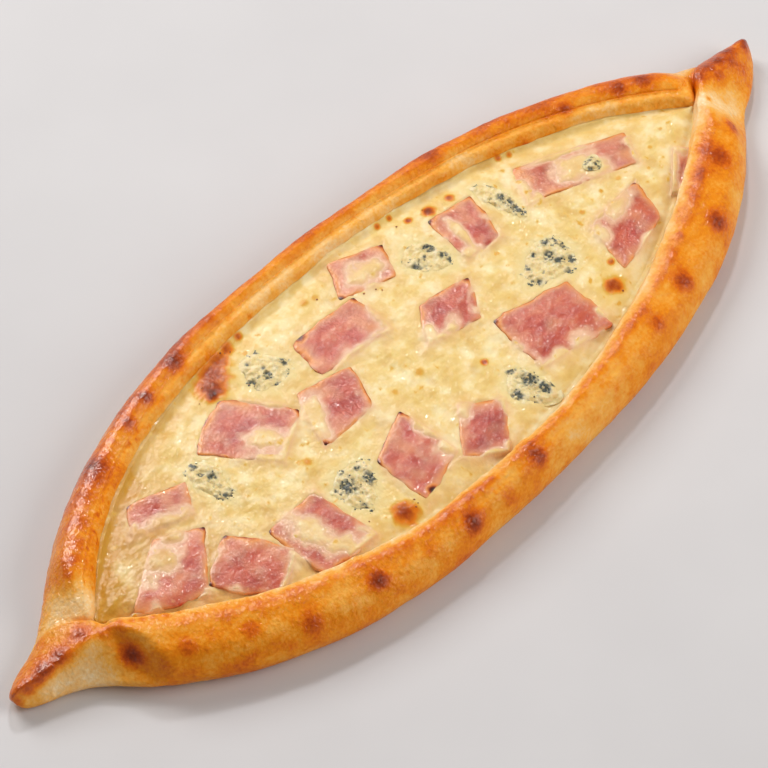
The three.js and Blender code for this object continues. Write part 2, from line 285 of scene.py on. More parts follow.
@dataclass(frozen=True)
class Finish:
    """What every finish shares: its gloss, its inner glow and the steady values of its shader.

    A finish reads some of a piece's values by name. Its patterns are noises: a name, a run in millimetres,
    a detail and a roughness. The film is the oil or moisture on top; its sparks break its shine, and are
    coarser than a real film's, so that they show.
    """

    name: str
    roughness: float
    coat: float
    coat_roughness: float
    glow: float
    glow_depth: float
    glow_tint: Triple = (1.0, 0.5, 0.25)
    ior: float = 1.45
    specular: float = 0.4
    film_relief: float = 0.0
    reads: tuple[str, ...] = ()
    patterns: Patterns = ()

    def material(self) -> Material:
        """Makes the material from its steady values and what paint gives.

        Returns:
            The new material.
        """
        material = bpy.data.materials.new(self.name)
        material.use_nodes = True
        tree = material.node_tree
        tree.nodes.clear()
        steady = {
            "Roughness": self.roughness, "IOR": self.ior, "Specular IOR Level": self.specular,
            "Coat Weight": self.coat, "Coat Roughness": self.coat_roughness,
            "Subsurface Weight": self.glow, "Subsurface Radius": self.glow_tint,
            "Subsurface Scale": self.glow_depth * MM,
        }
        feeds = {"place": add_node(tree, "ShaderNodeTexCoord").outputs["Object"]}
        for look in self.reads:
            feeds[look] = add_node(tree, "ShaderNodeAttribute", {"attribute_name": look}).outputs["Fac"]
        for pattern, run, detail, roughness in self.patterns:
            values = {"Scale": per_mm(run), "Detail": detail, "Roughness": roughness}
            noise = add_node(tree, "ShaderNodeTexNoise", values=values, links={"Vector": feeds["place"]})
            feeds[pattern] = noise.outputs["Fac"]
        painted = self.paint(tree, feeds)
        if self.film_relief:
            bump = add_node(tree, "ShaderNodeBump",
                            values={"Strength": 1.0, "Distance": self.film_relief * MM},
                            links={"Height": feeds["sparks"], "Normal": painted["Normal"]})
            painted["Coat Normal"] = bump.outputs["Normal"]
        shader = add_node(tree, "ShaderNodeBsdfPrincipled", values=steady, links=painted)
        add_node(tree, "ShaderNodeOutputMaterial", links={"Surface": shader.outputs["BSDF"]})
        return material

    def paint(self, tree: Tree, feeds: Sockets) -> Sockets:
        """Adds the nodes for colour and relief.

        Args:
            tree: The material's tree.
            feeds: The Object coordinates, what the finish reads and its patterns, by name.

        Returns:
            What feeds the shader, by input name.
        """
        raise NotImplementedError


@dataclass(frozen=True)
class BakedCrust(Finish):
    """Egg-washed wheat crust baked in a stone oven: pale where folds hid it, gold on top, brown on blisters.

    A swing is how far a pattern changes the baking; a relief is a strength and a depth in millimetres.
    """

    name: str = "egg_washed_baked_crust"
    roughness: float = 0.45
    coat: float = 0.18
    coat_roughness: float = 0.07
    glow: float = 0.05
    glow_depth: float = 2.0
    specular: float = 0.1
    film_relief: float = 0.7
    reads: tuple[str, ...] = ("bake", "gloss")
    patterns: Patterns = (
        ("mottle", 5.0, 3.0, 0.5), ("speckle", 1.3, 3.0, 0.5), ("pores", 0.8, 2.0, 0.5),
        ("sparks", 1.5, 0.5, 0.5))
    stops: Stops = (
        (0.0, "#FCE4BC"), (0.14, "#F8CD8E"), (0.3, "#F5B04A"), (0.46, "#EC8D12"),
        (0.6, "#DA6A04"), (0.74, "#B24604"), (0.87, "#862E02"), (1.0, "#481501"),
    )
    swings: tuple[tuple[str, float], ...] = (("mottle", 0.26), ("speckle", 0.3))
    wrinkle_run: float = 2.4
    wrinkle_relief: tuple[float, float] = (0.9, 0.45)
    pore_relief: tuple[float, float] = (0.8, 0.25)
    dull_roughness: float = 0.52
    glossy_roughness: float = 0.24
    thin_wash: float = 0.02
    thick_wash: float = 0.7

    def paint(self, tree: Tree, feeds: Sockets) -> Sockets:
        """Colours the crust by how far it is baked, and wrinkles its thin dry skin.

        Args:
            tree: The material's tree.
            feeds: The Object coordinates, what the finish reads and its patterns, by name.

        Returns:
            Colour, roughness, egg wash and normal.
        """
        level = feeds["bake"]
        for pattern, amount in self.swings:
            swing = add_node(tree, "ShaderNodeMath", {"operation": "MULTIPLY_ADD"},
                             {1: amount, 2: -amount / 2}, {0: feeds[pattern]})
            level = add_node(tree, "ShaderNodeMath", links={0: level, 1: swing.outputs[0]}).outputs[0]
        colour = add_node(tree, "ShaderNodeValToRGB", links={"Fac": level}, stops=self.stops)
        spans = ((self.dull_roughness, self.glossy_roughness), (self.thin_wash, self.thick_wash))
        rough, wash = (
            add_node(tree, "ShaderNodeMapRange", links={"Value": feeds["gloss"]},
                     values={"To Min": low, "To Max": high}).outputs["Result"]
            for low, high in spans)
        skin = add_node(tree, "ShaderNodeTexNoise", {"noise_type": "RIDGED_MULTIFRACTAL", "normalize": True},
                        {"Scale": per_mm(self.wrinkle_run), "Detail": 3.0, "Roughness": 0.55},
                        {"Vector": feeds["place"]})
        normal = {}
        reliefs = ((skin.outputs["Fac"], *self.wrinkle_relief), (feeds["pores"], *self.pore_relief))
        for height, strength, depth in reliefs:
            bump = add_node(tree, "ShaderNodeBump", values={"Strength": strength, "Distance": depth * MM},
                            links={"Height": height, **normal})
            normal = {"Normal": bump.outputs["Normal"]}
        return {"Base Color": colour.outputs["Color"], "Roughness": rough, "Coat Weight": wash, **normal}


@dataclass(frozen=True)
class MeltedCheeseFinish(Finish):
    """Melted white cheese: milky inside and moist, with yellow fat and spots toasted orange to brown."""

    name: str = "melted_white_cheese"
    roughness: float = 0.4
    coat: float = 0.2
    coat_roughness: float = 0.06
    specular: float = 0.15
    film_relief: float = 0.4
    glow: float = 0.22
    glow_depth: float = 3.0
    glow_tint: Triple = (1.0, 0.65, 0.35)
    reads: tuple[str, ...] = ("oil", "veil", "tint", "brown")
    patterns: Patterns = (("lumps", 7.0, 3.0, 0.5), ("fine", 1.9, 1.5, 0.5), ("sparks", 1.7, 0.5, 0.5))
    tones: Stops = ((0.3, "#E1BC6C"), (0.48, "#ECCE86"), (0.66, "#F8E6B4"))
    toasts: Stops = (
        (0.0, "#F2D68A"), (0.22, "#DFAE48"), (0.45, "#DD7C14"), (0.7, "#A8460A"), (1.0, "#451606"))
    oil: str = "#C89234"
    ham_under: str = "#E8BC92"
    blue_near: str = "#EBD498"
    fine_relief: float = 0.5
    toast_swing: float = 0.5
    full_toast: float = 0.22

    def paint(self, tree: Tree, feeds: Sockets) -> Sockets:
        """Colours the cheese by its lumps, its oil, the ham under thin parts and its toasted spots.

        Args:
            tree: The material's tree.
            feeds: The Object coordinates, what the finish reads and its patterns, by name.

        Returns:
            Colour and normal.
        """
        ramp = add_node(tree, "ShaderNodeValToRGB", links={"Fac": feeds["lumps"]}, stops=self.tones)
        colour = ramp.outputs["Color"]
        for look, code in (("oil", self.oil), ("veil", self.ham_under), ("tint", self.blue_near)):
            colour = add_node(tree, "ShaderNodeMix", {"data_type": "RGBA"}, {7: linear(code)},
                              {0: feeds[look], 6: colour}).outputs[2]
        swing = add_node(tree, "ShaderNodeMath", {"operation": "MULTIPLY_ADD"},
                         {1: self.toast_swing, 2: 1 - self.toast_swing / 2}, {0: feeds["fine"]})
        brown = add_node(tree, "ShaderNodeMath", {"operation": "MULTIPLY"},
                         links={0: feeds["brown"], 1: swing.outputs[0]}).outputs[0]
        toast = add_node(tree, "ShaderNodeValToRGB", links={"Fac": brown}, stops=self.toasts)
        share = add_node(tree, "ShaderNodeMapRange", values={"From Max": self.full_toast},
                         links={"Value": brown})
        colour = add_node(tree, "ShaderNodeMix", {"data_type": "RGBA"}, links={
            0: share.outputs["Result"], 6: colour, 7: toast.outputs["Color"]}).outputs[2]
        bump = add_node(tree, "ShaderNodeBump", links={"Height": feeds["fine"]},
                        values={"Strength": 0.5, "Distance": self.fine_relief * MM})
        return {"Base Color": colour, "Normal": bump.outputs["Normal"]}


@dataclass(frozen=True)
class CookedHam(Finish):
    """Cooked pressed ham: moist pink grain with pale fat, and edges dried orange to burnt by the oven."""

    name: str = "cooked_pressed_ham"
    roughness: float = 0.4
    coat: float = 0.45
    coat_roughness: float = 0.06
    specular: float = 0.2
    film_relief: float = 0.28
    glow: float = 0.15
    glow_depth: float = 2.5
    glow_tint: Triple = (1.0, 0.3, 0.22)
    reads: tuple[str, ...] = ("film", "sear")
    patterns: Patterns = (("flecks", 1.7, 2.0, 0.6), ("sparks", 1.15, 0.5, 0.5))
    meat: Stops = ((0.28, "#962A1C"), (0.44, "#B4412D"), (0.58, "#C75B40"), (0.74, "#DD8B68"))
    sears: Stops = (
        (0.0, "#EAB48C"), (0.35, "#E2904A"), (0.6, "#C0601E"), (0.8, "#7A2A0C"), (1.0, "#2C0E05"))
    fat: str = "#F2CDBC"
    cheese_film: str = "#EDC3A0"
    grain_run: float = 8.0
    grain_stretch: Triple = (0.6, 1.0, 1.0)
    fleck_span: tuple[float, float] = (0.54, 0.78)
    fleck_share: float = 0.25
    fleck_relief: float = 0.4
    full_sear: float = 0.3

    def paint(self, tree: Tree, feeds: Sockets) -> Sockets:
        """Colours the meat's grain and fat, its seared edges, and gives it a moist fine relief.

        Args:
            tree: The material's tree.
            feeds: The Object coordinates, what the finish reads and its patterns, by name.

        Returns:
            Colour and normal.
        """
        drawn = add_node(tree, "ShaderNodeVectorMath", {"operation": "MULTIPLY"}, {1: self.grain_stretch},
                         {0: feeds["place"]})
        grain = add_node(tree, "ShaderNodeTexNoise", links={"Vector": drawn.outputs[0]},
                         values={"Scale": per_mm(self.grain_run), "Detail": 5.0, "Roughness": 0.6})
        ramp = add_node(tree, "ShaderNodeValToRGB", links={"Fac": grain.outputs["Fac"]}, stops=self.meat)
        low, high = self.fleck_span
        fat = add_node(tree, "ShaderNodeMapRange", links={"Value": feeds["flecks"]},
                       values={"From Min": low, "From Max": high, "To Max": self.fleck_share})
        colour = ramp.outputs["Color"]
        for code, share in ((self.fat, fat.outputs["Result"]), (self.cheese_film, feeds["film"])):
            colour = add_node(tree, "ShaderNodeMix", {"data_type": "RGBA"}, {7: linear(code)},
                              {0: share, 6: colour}).outputs[2]
        burnt = add_node(tree, "ShaderNodeValToRGB", links={"Fac": feeds["sear"]}, stops=self.sears)
        share = add_node(tree, "ShaderNodeMapRange", values={"From Max": self.full_sear},
                         links={"Value": feeds["sear"]})
        colour = add_node(tree, "ShaderNodeMix", {"data_type": "RGBA"}, links={
            0: share.outputs["Result"], 6: colour, 7: burnt.outputs["Color"]}).outputs[2]
        bump = add_node(tree, "ShaderNodeBump", links={"Height": feeds["flecks"]},
                        values={"Strength": 0.6, "Distance": self.fleck_relief * MM})
        return {"Base Color": colour, "Normal": bump.outputs["Normal"]}


@dataclass(frozen=True)
class BlueCheeseFinish(Finish):
    """Softened blue cheese: crumbly cream paste with dark mould and a grey-green bloom round it."""

    name: str = "softened_blue_cheese"
    roughness: float = 0.5
    coat: float = 0.12
    coat_roughness: float = 0.12
    glow: float = 0.2
    glow_depth: float = 2.0
    reads: tuple[str, ...] = ("bloom", "mould")
    patterns: Patterns = (("paste", 3.0, 4.0, 0.6),)
    tones: Stops = ((0.3, "#DFC07A"), (0.5, "#EBD498"), (0.7, "#F6E6BC"))
    bloom: str = "#B9B290"
    bloom_share: float = 0.55
    mould: str = "#37423F"
    mould_share: float = 0.95
    paste_relief: float = 0.8

    def paint(self, tree: Tree, feeds: Sockets) -> Sockets:
        """Colours the paste, the mould and its bloom.

        Args:
            tree: The material's tree.
            feeds: The Object coordinates, what the finish reads and its patterns, by name.

        Returns:
            Colour and normal.
        """
        ramp = add_node(tree, "ShaderNodeValToRGB", links={"Fac": feeds["paste"]}, stops=self.tones)
        colour = ramp.outputs["Color"]
        layers = (("bloom", self.bloom, self.bloom_share), ("mould", self.mould, self.mould_share))
        for look, code, most in layers:
            share = add_node(tree, "ShaderNodeMapRange", values={"To Max": most},
                             links={"Value": feeds[look]})
            colour = add_node(tree, "ShaderNodeMix", {"data_type": "RGBA"}, {7: linear(code)},
                              {0: share.outputs["Result"], 6: colour}).outputs[2]
        bump = add_node(tree, "ShaderNodeBump", links={"Height": feeds["paste"]},
                        values={"Strength": 0.9, "Distance": self.paste_relief * MM})
        return {"Base Color": colour, "Normal": bump.outputs["Normal"]}


@dataclass(frozen=True)
class CloudedFinish(Finish):
    """A plain finish whose tone changes softly from place to place."""

    tones: Stops = ()

    def paint(self, tree: Tree, feeds: Sockets) -> Sockets:
        """Clouds the colour."""
        colour = add_node(tree, "ShaderNodeValToRGB", links={"Fac": feeds["clouds"]}, stops=self.tones)
        return {"Base Color": colour.outputs["Color"]}


@dataclass(frozen=True)
class MouldClumps(CloudedFinish):
    """Clumps of blue mould: grey-green to nearly black, uneven in tone and rather dull."""

    name: str = "blue_mould_clumps"
    roughness: float = 0.5
    coat: float = 0.1
    coat_roughness: float = 0.25
    glow: float = 0.0
    glow_depth: float = 1.0
    patterns: Patterns = (("clouds", 1.5, 2.0, 0.5),)
    tones: Stops = ((0.35, "#27302F"), (0.65, "#5A6862"))


@dataclass(frozen=True)
class ToastedCrumbs(MouldClumps):
    """Toasted crumbs of cheese: as dull as the mould, and dark brown to amber."""

    name: str = "toasted_cheese_crumbs"
    tones: Stops = ((0.35, "#7A3010"), (0.65, "#C4772A"))


@dataclass(frozen=True)
class PaleFloor(CloudedFinish):
    """Plain pale honed stone, with hardly any change of tone and no shine."""

    name: str = "pale_honed_stone"
    roughness: float = 0.9
    coat: float = 0.0
    coat_roughness: float = 0.3
    glow: float = 0.0
    glow_depth: float = 1.0
    specular: float = 0.0
    patterns: Patterns = (("clouds", 90.0, 3.0, 0.5),)
    tones: Stops = ((0.3, "#D3D2D6"), (0.7, "#D8D7DB"))


@dataclass(frozen=True)
class Lens:
    """Half-widths along the boat: full at one place, and shut at each end."""

    half: float
    middle: float
    power: float
    left_end: float
    right_end: float
    left_fullness: float
    right_fullness: float

    def at(self, x: Array) -> Array:
        """Gives the half-widths.

        Args:
            x: Places along the boat.

        Returns:
            The half-width at each x.
        """
        left = x < self.middle
        end = np.where(left, self.left_end, self.right_end)
        share = np.clip((x - self.middle) / (end - self.middle), 0, 1)
        fullness = np.where(left, self.left_fullness, self.right_fullness)
        return self.half * (1 - share ** self.power) ** fullness


@dataclass(frozen=True)
class Tip:
    """One pinched end, its near edge folded over the far one; shares of its half-width and height."""

    opening_end: float
    crest: float
    near_half: float
    wall: Pairs
    crease_run: tuple[float, float]
    crease_start: float
    crease_power: float
    join: tuple[float, float]
    far_join: tuple[float, float]


@dataclass(frozen=True)
class Side:
    """One long rim: its outline, its opening and the sizes of its top."""

    belly: Lens
    opening: Lens
    crest: float
    lip_run: float
    lip_phase: float
    crest_phase: float


@dataclass(frozen=True)
class Mark:
    """A browned place: its middle, its reach in millimetres and how dark it is, from 0 to 1."""

    x: float
    y: float
    z: float
    reach: float
    toast: float

    def distance(self, points: Array) -> Array:
        """Gives the distance of points from the middle, in reaches."""
        return np.linalg.norm(points - (self.x, self.y, self.z), axis=-1) / self.reach


class Rim(Enum):
    """Places round a section of the dough, counted in control points from the middle of the underside."""

    NEAR_RIDGE = 6
    NEAR_LIP = 8
    CREASE = 13
    FAR_WALL = 16
    FAR_LIP = 18
    FAR_RIDGE = 20


@dataclass
class DoughBoat:
    """The dough: a boat with folded rims, a floor under the filling and two pinched tips.

    A baking table is places round a section, counted as Rim counts them, with how far they are baked.
    """

    half_length: float = 200.0
    near: Side = Side(
        Lens(69, -26, 2.5, -185, 178, 0.8, 0.7), Lens(54, -20, 2.05, -161.5, 156, 1, 1), 20, 2, 0.4, 1.7)
    far: Side = Side(
        Lens(69, -26, 2.5, -185, 179, 0.85, 0.7), Lens(53.5, -20, 2.5, -161.5, 156, 0.85, 0.85),
        21, 6, 2.6, 3.9)
    left_tip: Tip = Tip(-161.5, 0.2, 0.8, ((0.8, 0.47), (0.52, 0.7)), (0, 16), 0, 1.1, (5, 2), (9, 9))
    right_tip: Tip = Tip(156, -0.15, 0.95, ((0.72, 0.54), (0.3, 0.8)), (-4, 22), 0.02, 1.5, (4, 13), (0, 13))
    left_bend: float = 8.5
    right_bend: float = 12.0
    right_dip: float = 3.0
    neck_blend: float = 9.0
    wobble: float = 0.45
    wobble_runs: tuple[float, float] = (23.0, 11.0)
    rim_top: Pairs = ((0.86, 0.76), (0.6, 0.95), (0.32, 1.0))
    lip_drop: float = 1.5
    lip_crispness: float = 0.2
    foot_tuck: float = 7.0
    bulge_z: float = 8.5
    floor_z: float = 6.0
    cheese_edge_z: float = 13.0
    wall_toe: Pairs = ((1.5, 0.3), (5.0, 0.6))
    cone_slope: float = 0.22
    cone_nose: float = 6.4
    tip_crest: float = 18.5
    tip_end_crest: float = 12.0
    tip_run: float = 38.0
    tip_lift: float = 2.5
    lift_run: float = 25.0
    left_change: tuple[float, float] = (-4.0, 5.0)
    right_change: tuple[float, float] = (-2.0, 12.0)
    nose_run: float = 4.5
    nose_z: float = 7.0
    crease_end: float = 0.9
    crease_sink: float = 0.15
    fold_drop: float = 0.55
    fold_power: float = 2.2
    pinch_run: float = 18.0
    fold_runs: tuple[float, ...] = (0, 0.24, 0.3, 0.35, 0.55, 0.76, 0.92)
    flank_runs: tuple[float, ...] = (0, 0.2, 0.4, 0.57, 0.682, 0.71, 0.732, 0.82, 0.9, 0.96)
    tip_foot: Pairs = ((0.55, 0), (0.88, 0.13))
    tip_edge: float = 0.34
    stations: int = 460
    evenness: float = 0.55
    span_samples: tuple[int, ...] = (4, 5, 7, 10, 10, 10, 10, 5, 5, 9, 4, 3, 4)
    seed: int = 11
    slow_run: float = 24.0
    middle_run: float = 9.0
    fine_run: float = 3.2
    scallop_run: float = 7.5
    notch_run: float = 3.6
    streak_run: float = 7.0
    fold_run: float = 6.0
    speckle_run: float = 2.6
    near_left_span: tuple[float, float] = (20.0, 90.0)
    far_left_span: tuple[float, float] = (50.0, 120.0)
    groove_span: tuple[float, float] = (40.0, 110.0)
    glossy_span: tuple[float, float] = (20.0, 110.0)
    glossy_start: tuple[float, float] = (17.6, 18.4)
    glossy_end: tuple[float, float] = (22.0, 24.0)
    full_toast: float = 0.97
    body_bake: Pairs = (
        (0, 0.34), (1, 0.42), (2, 0.46), (3, 0.42), (4, 0.37), (5, 0.36), (5.6, 0.38), (6, 0.43), (6.4, 0.4),
        (6.8, 0.31), (7.3, 0.22), (8, 0.15), (9, 0.16), (10, 0.18), (13, 0.2), (15.8, 0.37), (16.3, 0.32),
        (16.8, 0.3), (17.3, 0.31), (17.8, 0.36), (18.2, 0.43), (18.5, 0.42), (18.9, 0.36), (19.5, 0.45),
        (20, 0.55), (21, 0.61), (22, 0.58), (23, 0.48), (24, 0.4), (25, 0.34), (26, 0.3))
    left_bake: Pairs = (
        (0, 0.3), (2, 0.3), (3, 0.22), (4, 0.14), (5, 0.2), (5.7, 0.46), (6, 0.6), (8, 0.55), (11, 0.47),
        (13, 0.44), (16, 0.32), (20, 0.28), (23, 0.36), (26, 0.3))
    right_bake: Pairs = (
        (0, 0.3), (2, 0.34), (3, 0.4), (4, 0.42), (5, 0.44), (6, 0.49), (9, 0.54), (11, 0.63), (12, 0.71),
        (13, 0.73), (15, 0.67), (17, 0.56), (20, 0.46), (23, 0.46), (26, 0.3))

    blisters: tuple[Mark, ...] = (
        Mark(-162.3, -12.3, 12.8, 4.6, 1.0), Mark(-150, -26.7, 18.5, 3.0, 0.55),
        Mark(-130.3, -38.1, 18.9, 3.4, 0.55), Mark(-113.8, -51.6, 15.7, 3.8, 0.7),
        Mark(-86.4, -57, 18.3, 4.3, 1.0), Mark(-64.2, -61.7, 17.9, 3.6, 0.4),
        Mark(-45.2, -65, 17.1, 4.3, 0.95), Mark(-28.1, -66.8, 16, 3.4, 0.45),
        Mark(-9.9, -64.1, 19.2, 4.4, 0.85), Mark(64.1, -57.4, 17.9, 3.4, 0.5),
        Mark(86.4, -51.3, 18, 4.2, 0.9), Mark(116.4, -43, 17.3, 4.5, 0.9),
        Mark(140.2, -25.5, 19.6, 4.5, 0.8), Mark(156.5, -17.4, 16.3, 3.6, 0.7),
        Mark(173.4, 2.2, 16, 3.4, 0.55), Mark(140, 24.2, 21, 3.6, 0.7), Mark(150, 20.5, 20, 3.8, 0.8),
        Mark(119.4, 32.3, 20.6, 3.2, 0.6), Mark(-64.6, 59.1, 21.6, 4.4, 0.95),
        Mark(-82.5, 55.9, 21.3, 2.8, 0.85), Mark(-94.5, 52.6, 20.7, 2.8, 0.8),
        Mark(-116.5, 48.4, 20.1, 5.0, 0.85), Mark(-120.6, 45.4, 20.3, 4.5, 0.6),
        Mark(-127.8, 40.9, 20.3, 4.0, 0.45), Mark(-137.3, 34.6, 20.3, 4.0, 0.45),
        Mark(-144.4, 30.2, 20.2, 4.0, 0.45), Mark(-152, 26.7, 20, 3.5, 0.5),
        Mark(-156, 23.9, 20, 2.5, 0.4), Mark(-158.5, -3, 19.9, 1.6, 0.55),
        Mark(-155.4, -6.2, 20.3, 1.5, 0.5), Mark(-152.4, -8.1, 20.1, 1.6, 0.55),
        Mark(-149.4, -10, 19.9, 1.5, 0.45), Mark(-145.8, -12.6, 19.7, 1.8, 0.5),
        Mark(-141.2, -15.3, 19.1, 1.6, 0.4), Mark(-170.3, 4.2, 17.6, 3.8, 0.7),
        Mark(-179.9, 4.5, 15.7, 3.6, 0.6), Mark(-186.8, 5, 13.9, 3.6, 0.6),
        Mark(-190.5, 4.4, 11.6, 3.2, 0.55), Mark(-194.5, 5.3, 9.8, 3.4, 0.62),
        Mark(-199, 6.9, 6.3, 3.2, 0.62), Mark(197.2, 8.1, 11.1, 3.5, 0.8), Mark(184, 5, 14, 3.6, 0.5),
        Mark(167, 6, 18, 3.2, 0.6), Mark(160.2, -3.7, 19.1, 0.9, 0.7), Mark(173, 7.6, 16.8, 3.8, 0.62),
        Mark(180, 8.2, 15.4, 3.8, 0.62), Mark(187, 9, 13.8, 3.6, 0.64),
    )
    # Pale folds of dough at the necks. The mark at (-157, -14) is painted light: it pales the self-shadowed
    # hollow below the near rim's first hump.
    pale_necks_and_painted_light: tuple[Mark, ...] = (
        Mark(-158.9, 10.9, 16.9, 6.0, 0.1), Mark(-165.5, 18, 14.2, 7.0, 0.1),
        Mark(-171.5, -1.6, 15.5, 5.0, 0.12), Mark(-157, -14, 18.5, 6.5, 0.25),
        Mark(163, -7, 17, 7.5, 0.08), Mark(159, -3, 19, 4.5, 0.08), Mark(170, -9, 12, 6.5, 0.14),
        Mark(164, 16, 13, 5.0, 0.2), Mark(169, 14.5, 12, 5.0, 0.18),
    )
    wall_marks: tuple[Mark, ...] = (
        Mark(-60, 49, 15.5, 5.0, 0.8), Mark(-52, 51.5, 15.5, 4.0, 0.7), Mark(-29, 55.8, 16.3, 1.2, 0.6),
        Mark(-23.9, 54.1, 14.1, 1.1, 0.6), Mark(-31.6, 53.9, 13.8, 1.2, 0.7),
        Mark(-37.6, 53.4, 13.2, 2.0, 0.8), Mark(-42.9, 53.3, 13.4, 1.6, 0.8),
        Mark(88.2, 39.1, 14.2, 1.5, 0.7), Mark(99.6, 34.7, 14.2, 1.6, 0.6),
        Mark(106, 30.5, 14.2, 1.6, 0.5), Mark(114, 25, 14.2, 1.6, 0.6),
    )

    def middle_y(self, x: Array) -> Array:
        """Gives the boat's middle line, which bends towards +Y at both tips.

        Args:
            x: Places along the boat.

        Returns:
            The y of the middle line.
        """
        share = np.abs(x) / self.half_length
        right = self.right_bend * share ** 6 - self.right_dip * share
        return np.where(np.asarray(x) < 0, self.left_bend * share ** 4, right)

    def outline(self, x: Array, side: Side) -> Array:
        """Gives half the boat's width.

        Args:
            x: Places along the boat.
            side: The near or the far rim.

        Returns:
            The half-widths: the body's lens joined softly to the cone of each tip.
        """
        distance = self.half_length - np.abs(x)
        cone = np.sqrt((self.cone_slope * distance) ** 2 + self.cone_nose * distance)
        cone = cone * (1 - smoothstep(distance, self.tip_run, 2 * self.tip_run))
        body = side.belly.at(x)
        blend = np.maximum(np.minimum(self.neck_blend, distance), 1e-6)
        share = np.clip(0.5 + 0.5 * (body - cone) / blend, 0, 1)
        return lerp(cone, body, share) + blend * share * (1 - share)

    def edge_wobble(self, x: Array, phase: float) -> Array:
        """Gives the small unevenness of a hand-folded edge."""
        long, short = self.wobble_runs
        return self.wobble * (np.sin(x / long + phase) + 0.6 * np.sin(x / short + 2.1 * phase))

    def body_side(self, x: Array, side: Side) -> Array:
        """Gives half a section of the open body.

        Args:
            x: Places along the boat.
            side: The near or the far rim.

        Returns:
            Distances out and heights, from the foot over the crest and the lip down to the floor.
        """
        outer, opening = self.outline(x, side), side.opening.at(x)
        lip = opening + side.lip_run + self.edge_wobble(x, side.lip_phase)
        height = side.crest + self.edge_wobble(x, side.crest_phase)
        rim = [(lerp(lip, outer, run), rise * height) for run, rise in self.rim_top]
        edge, wall = (lip, height - self.lip_drop), (opening, self.cheese_edge_z)
        before, after = (
            tuple(lerp(edge[i], end[i], self.lip_crispness) for i in (0, 1)) for end in (rim[-1], wall))
        toe, floor = (opening - np.minimum(run, share * opening) for run, share in self.wall_toe)
        points = [
            (outer - self.foot_tuck, 0), (outer - 0.25 * self.foot_tuck, 0.35 * self.bulge_z),
            (outer, self.bulge_z), *rim, before, edge, after, wall,
            (toe, lerp(self.cheese_edge_z, self.floor_z, 0.6)), (floor, self.floor_z),
        ]
        return np.stack([np.stack(np.broadcast_arrays(out, up + 0 * x), -1) for out, up in points], 1)

    def section_points(self, x: Array, tip: Tip) -> Array:
        """Gives the control points of the sections in one half of the boat.

        Args:
            x: Places along that half.
            tip: The tip at its end.

        Returns:
            Distances across and heights, from the middle of the underside round by the near rim.
        """
        beyond = (x - tip.opening_end) * np.sign(tip.opening_end)
        from_end = smoothstep(self.half_length - np.abs(x), 0, self.tip_run)
        height = lerp(self.tip_end_crest, self.tip_crest, from_end)
        start, end = tip.crease_run
        run = np.clip((beyond - start) / (end - start), 0, 1)
        crease = lerp(tip.crease_start, self.crease_end, run ** tip.crease_power)

        def fold_top(share: Array) -> Array:
            """Gives the folded top's height at a share of the half-width."""
            drop = (np.maximum(tip.crest - share, 0) / (1 + tip.crest)) ** self.fold_power
            return 1 - self.fold_drop * drop

        def change(
            body: Array, pinched: list[tuple[Array, Array]], half: Array, join: tuple[float, float],
        ) -> Array:
            """Changes a section of the open body into one of the tip.

            Args:
                body: The points of the open body.
                pinched: Shares of the half-width and the height for each point of the tip.
                half: The half-widths.
                join: How far before and beyond the opening's end the change runs.

            Returns:
                The changed points.
            """
            share = smoothstep(beyond, -join[0], join[1])[:, None]
            sizes = (half, height)
            tips = [np.stack([part[i] * sizes[i] for part in pinched], 1) for i in (0, 1)]
            return np.stack([lerp(body[..., i], tips[i], share) for i in (0, 1)], -1)

        crease_up = fold_top(-crease) - self.crease_sink * (1 - 0.75 * crease)
        pinch = lerp(1, tip.near_half, smoothstep(beyond, 0, self.pinch_run))
        shares = [lerp(tip.crest, -crease, part) for part in self.fold_runs]
        near_tip = [(out * pinch, up) for out, up in (*self.tip_foot, (1, self.tip_edge), *tip.wall)]
        near_tip += [(share, fold_top(share)) for share in shares]
        far_tip = [(out + 0 * x, up) for out, up in self.tip_foot]
        far_tip += [(lerp(1, crease, part), lerp(self.tip_edge, crease_up, math.sqrt(part)))
                    for part in self.flank_runs]
        near_half, far_half = self.outline(x, self.near), self.outline(x, self.far)
        near = change(self.body_side(x, self.near), near_tip, near_half, tip.join) * (-1, 1)
        far = change(self.body_side(x, self.far), far_tip, far_half, tip.far_join)
        floor = np.stack([0 * x, 0 * x + self.floor_z], -1)[:, None]
        middle = change(floor, [(crease, crease_up)], far_half, tip.join)
        return np.concatenate([0 * floor, near, middle, far[:, ::-1]], axis=1)

    def ring_places(self) -> Array:
        """Gives the places round a section, in control points, close together on the rims."""
        counts = self.span_samples + self.span_samples[::-1]
        return np.concatenate([span + np.arange(count) / count for span, count in enumerate(counts)])

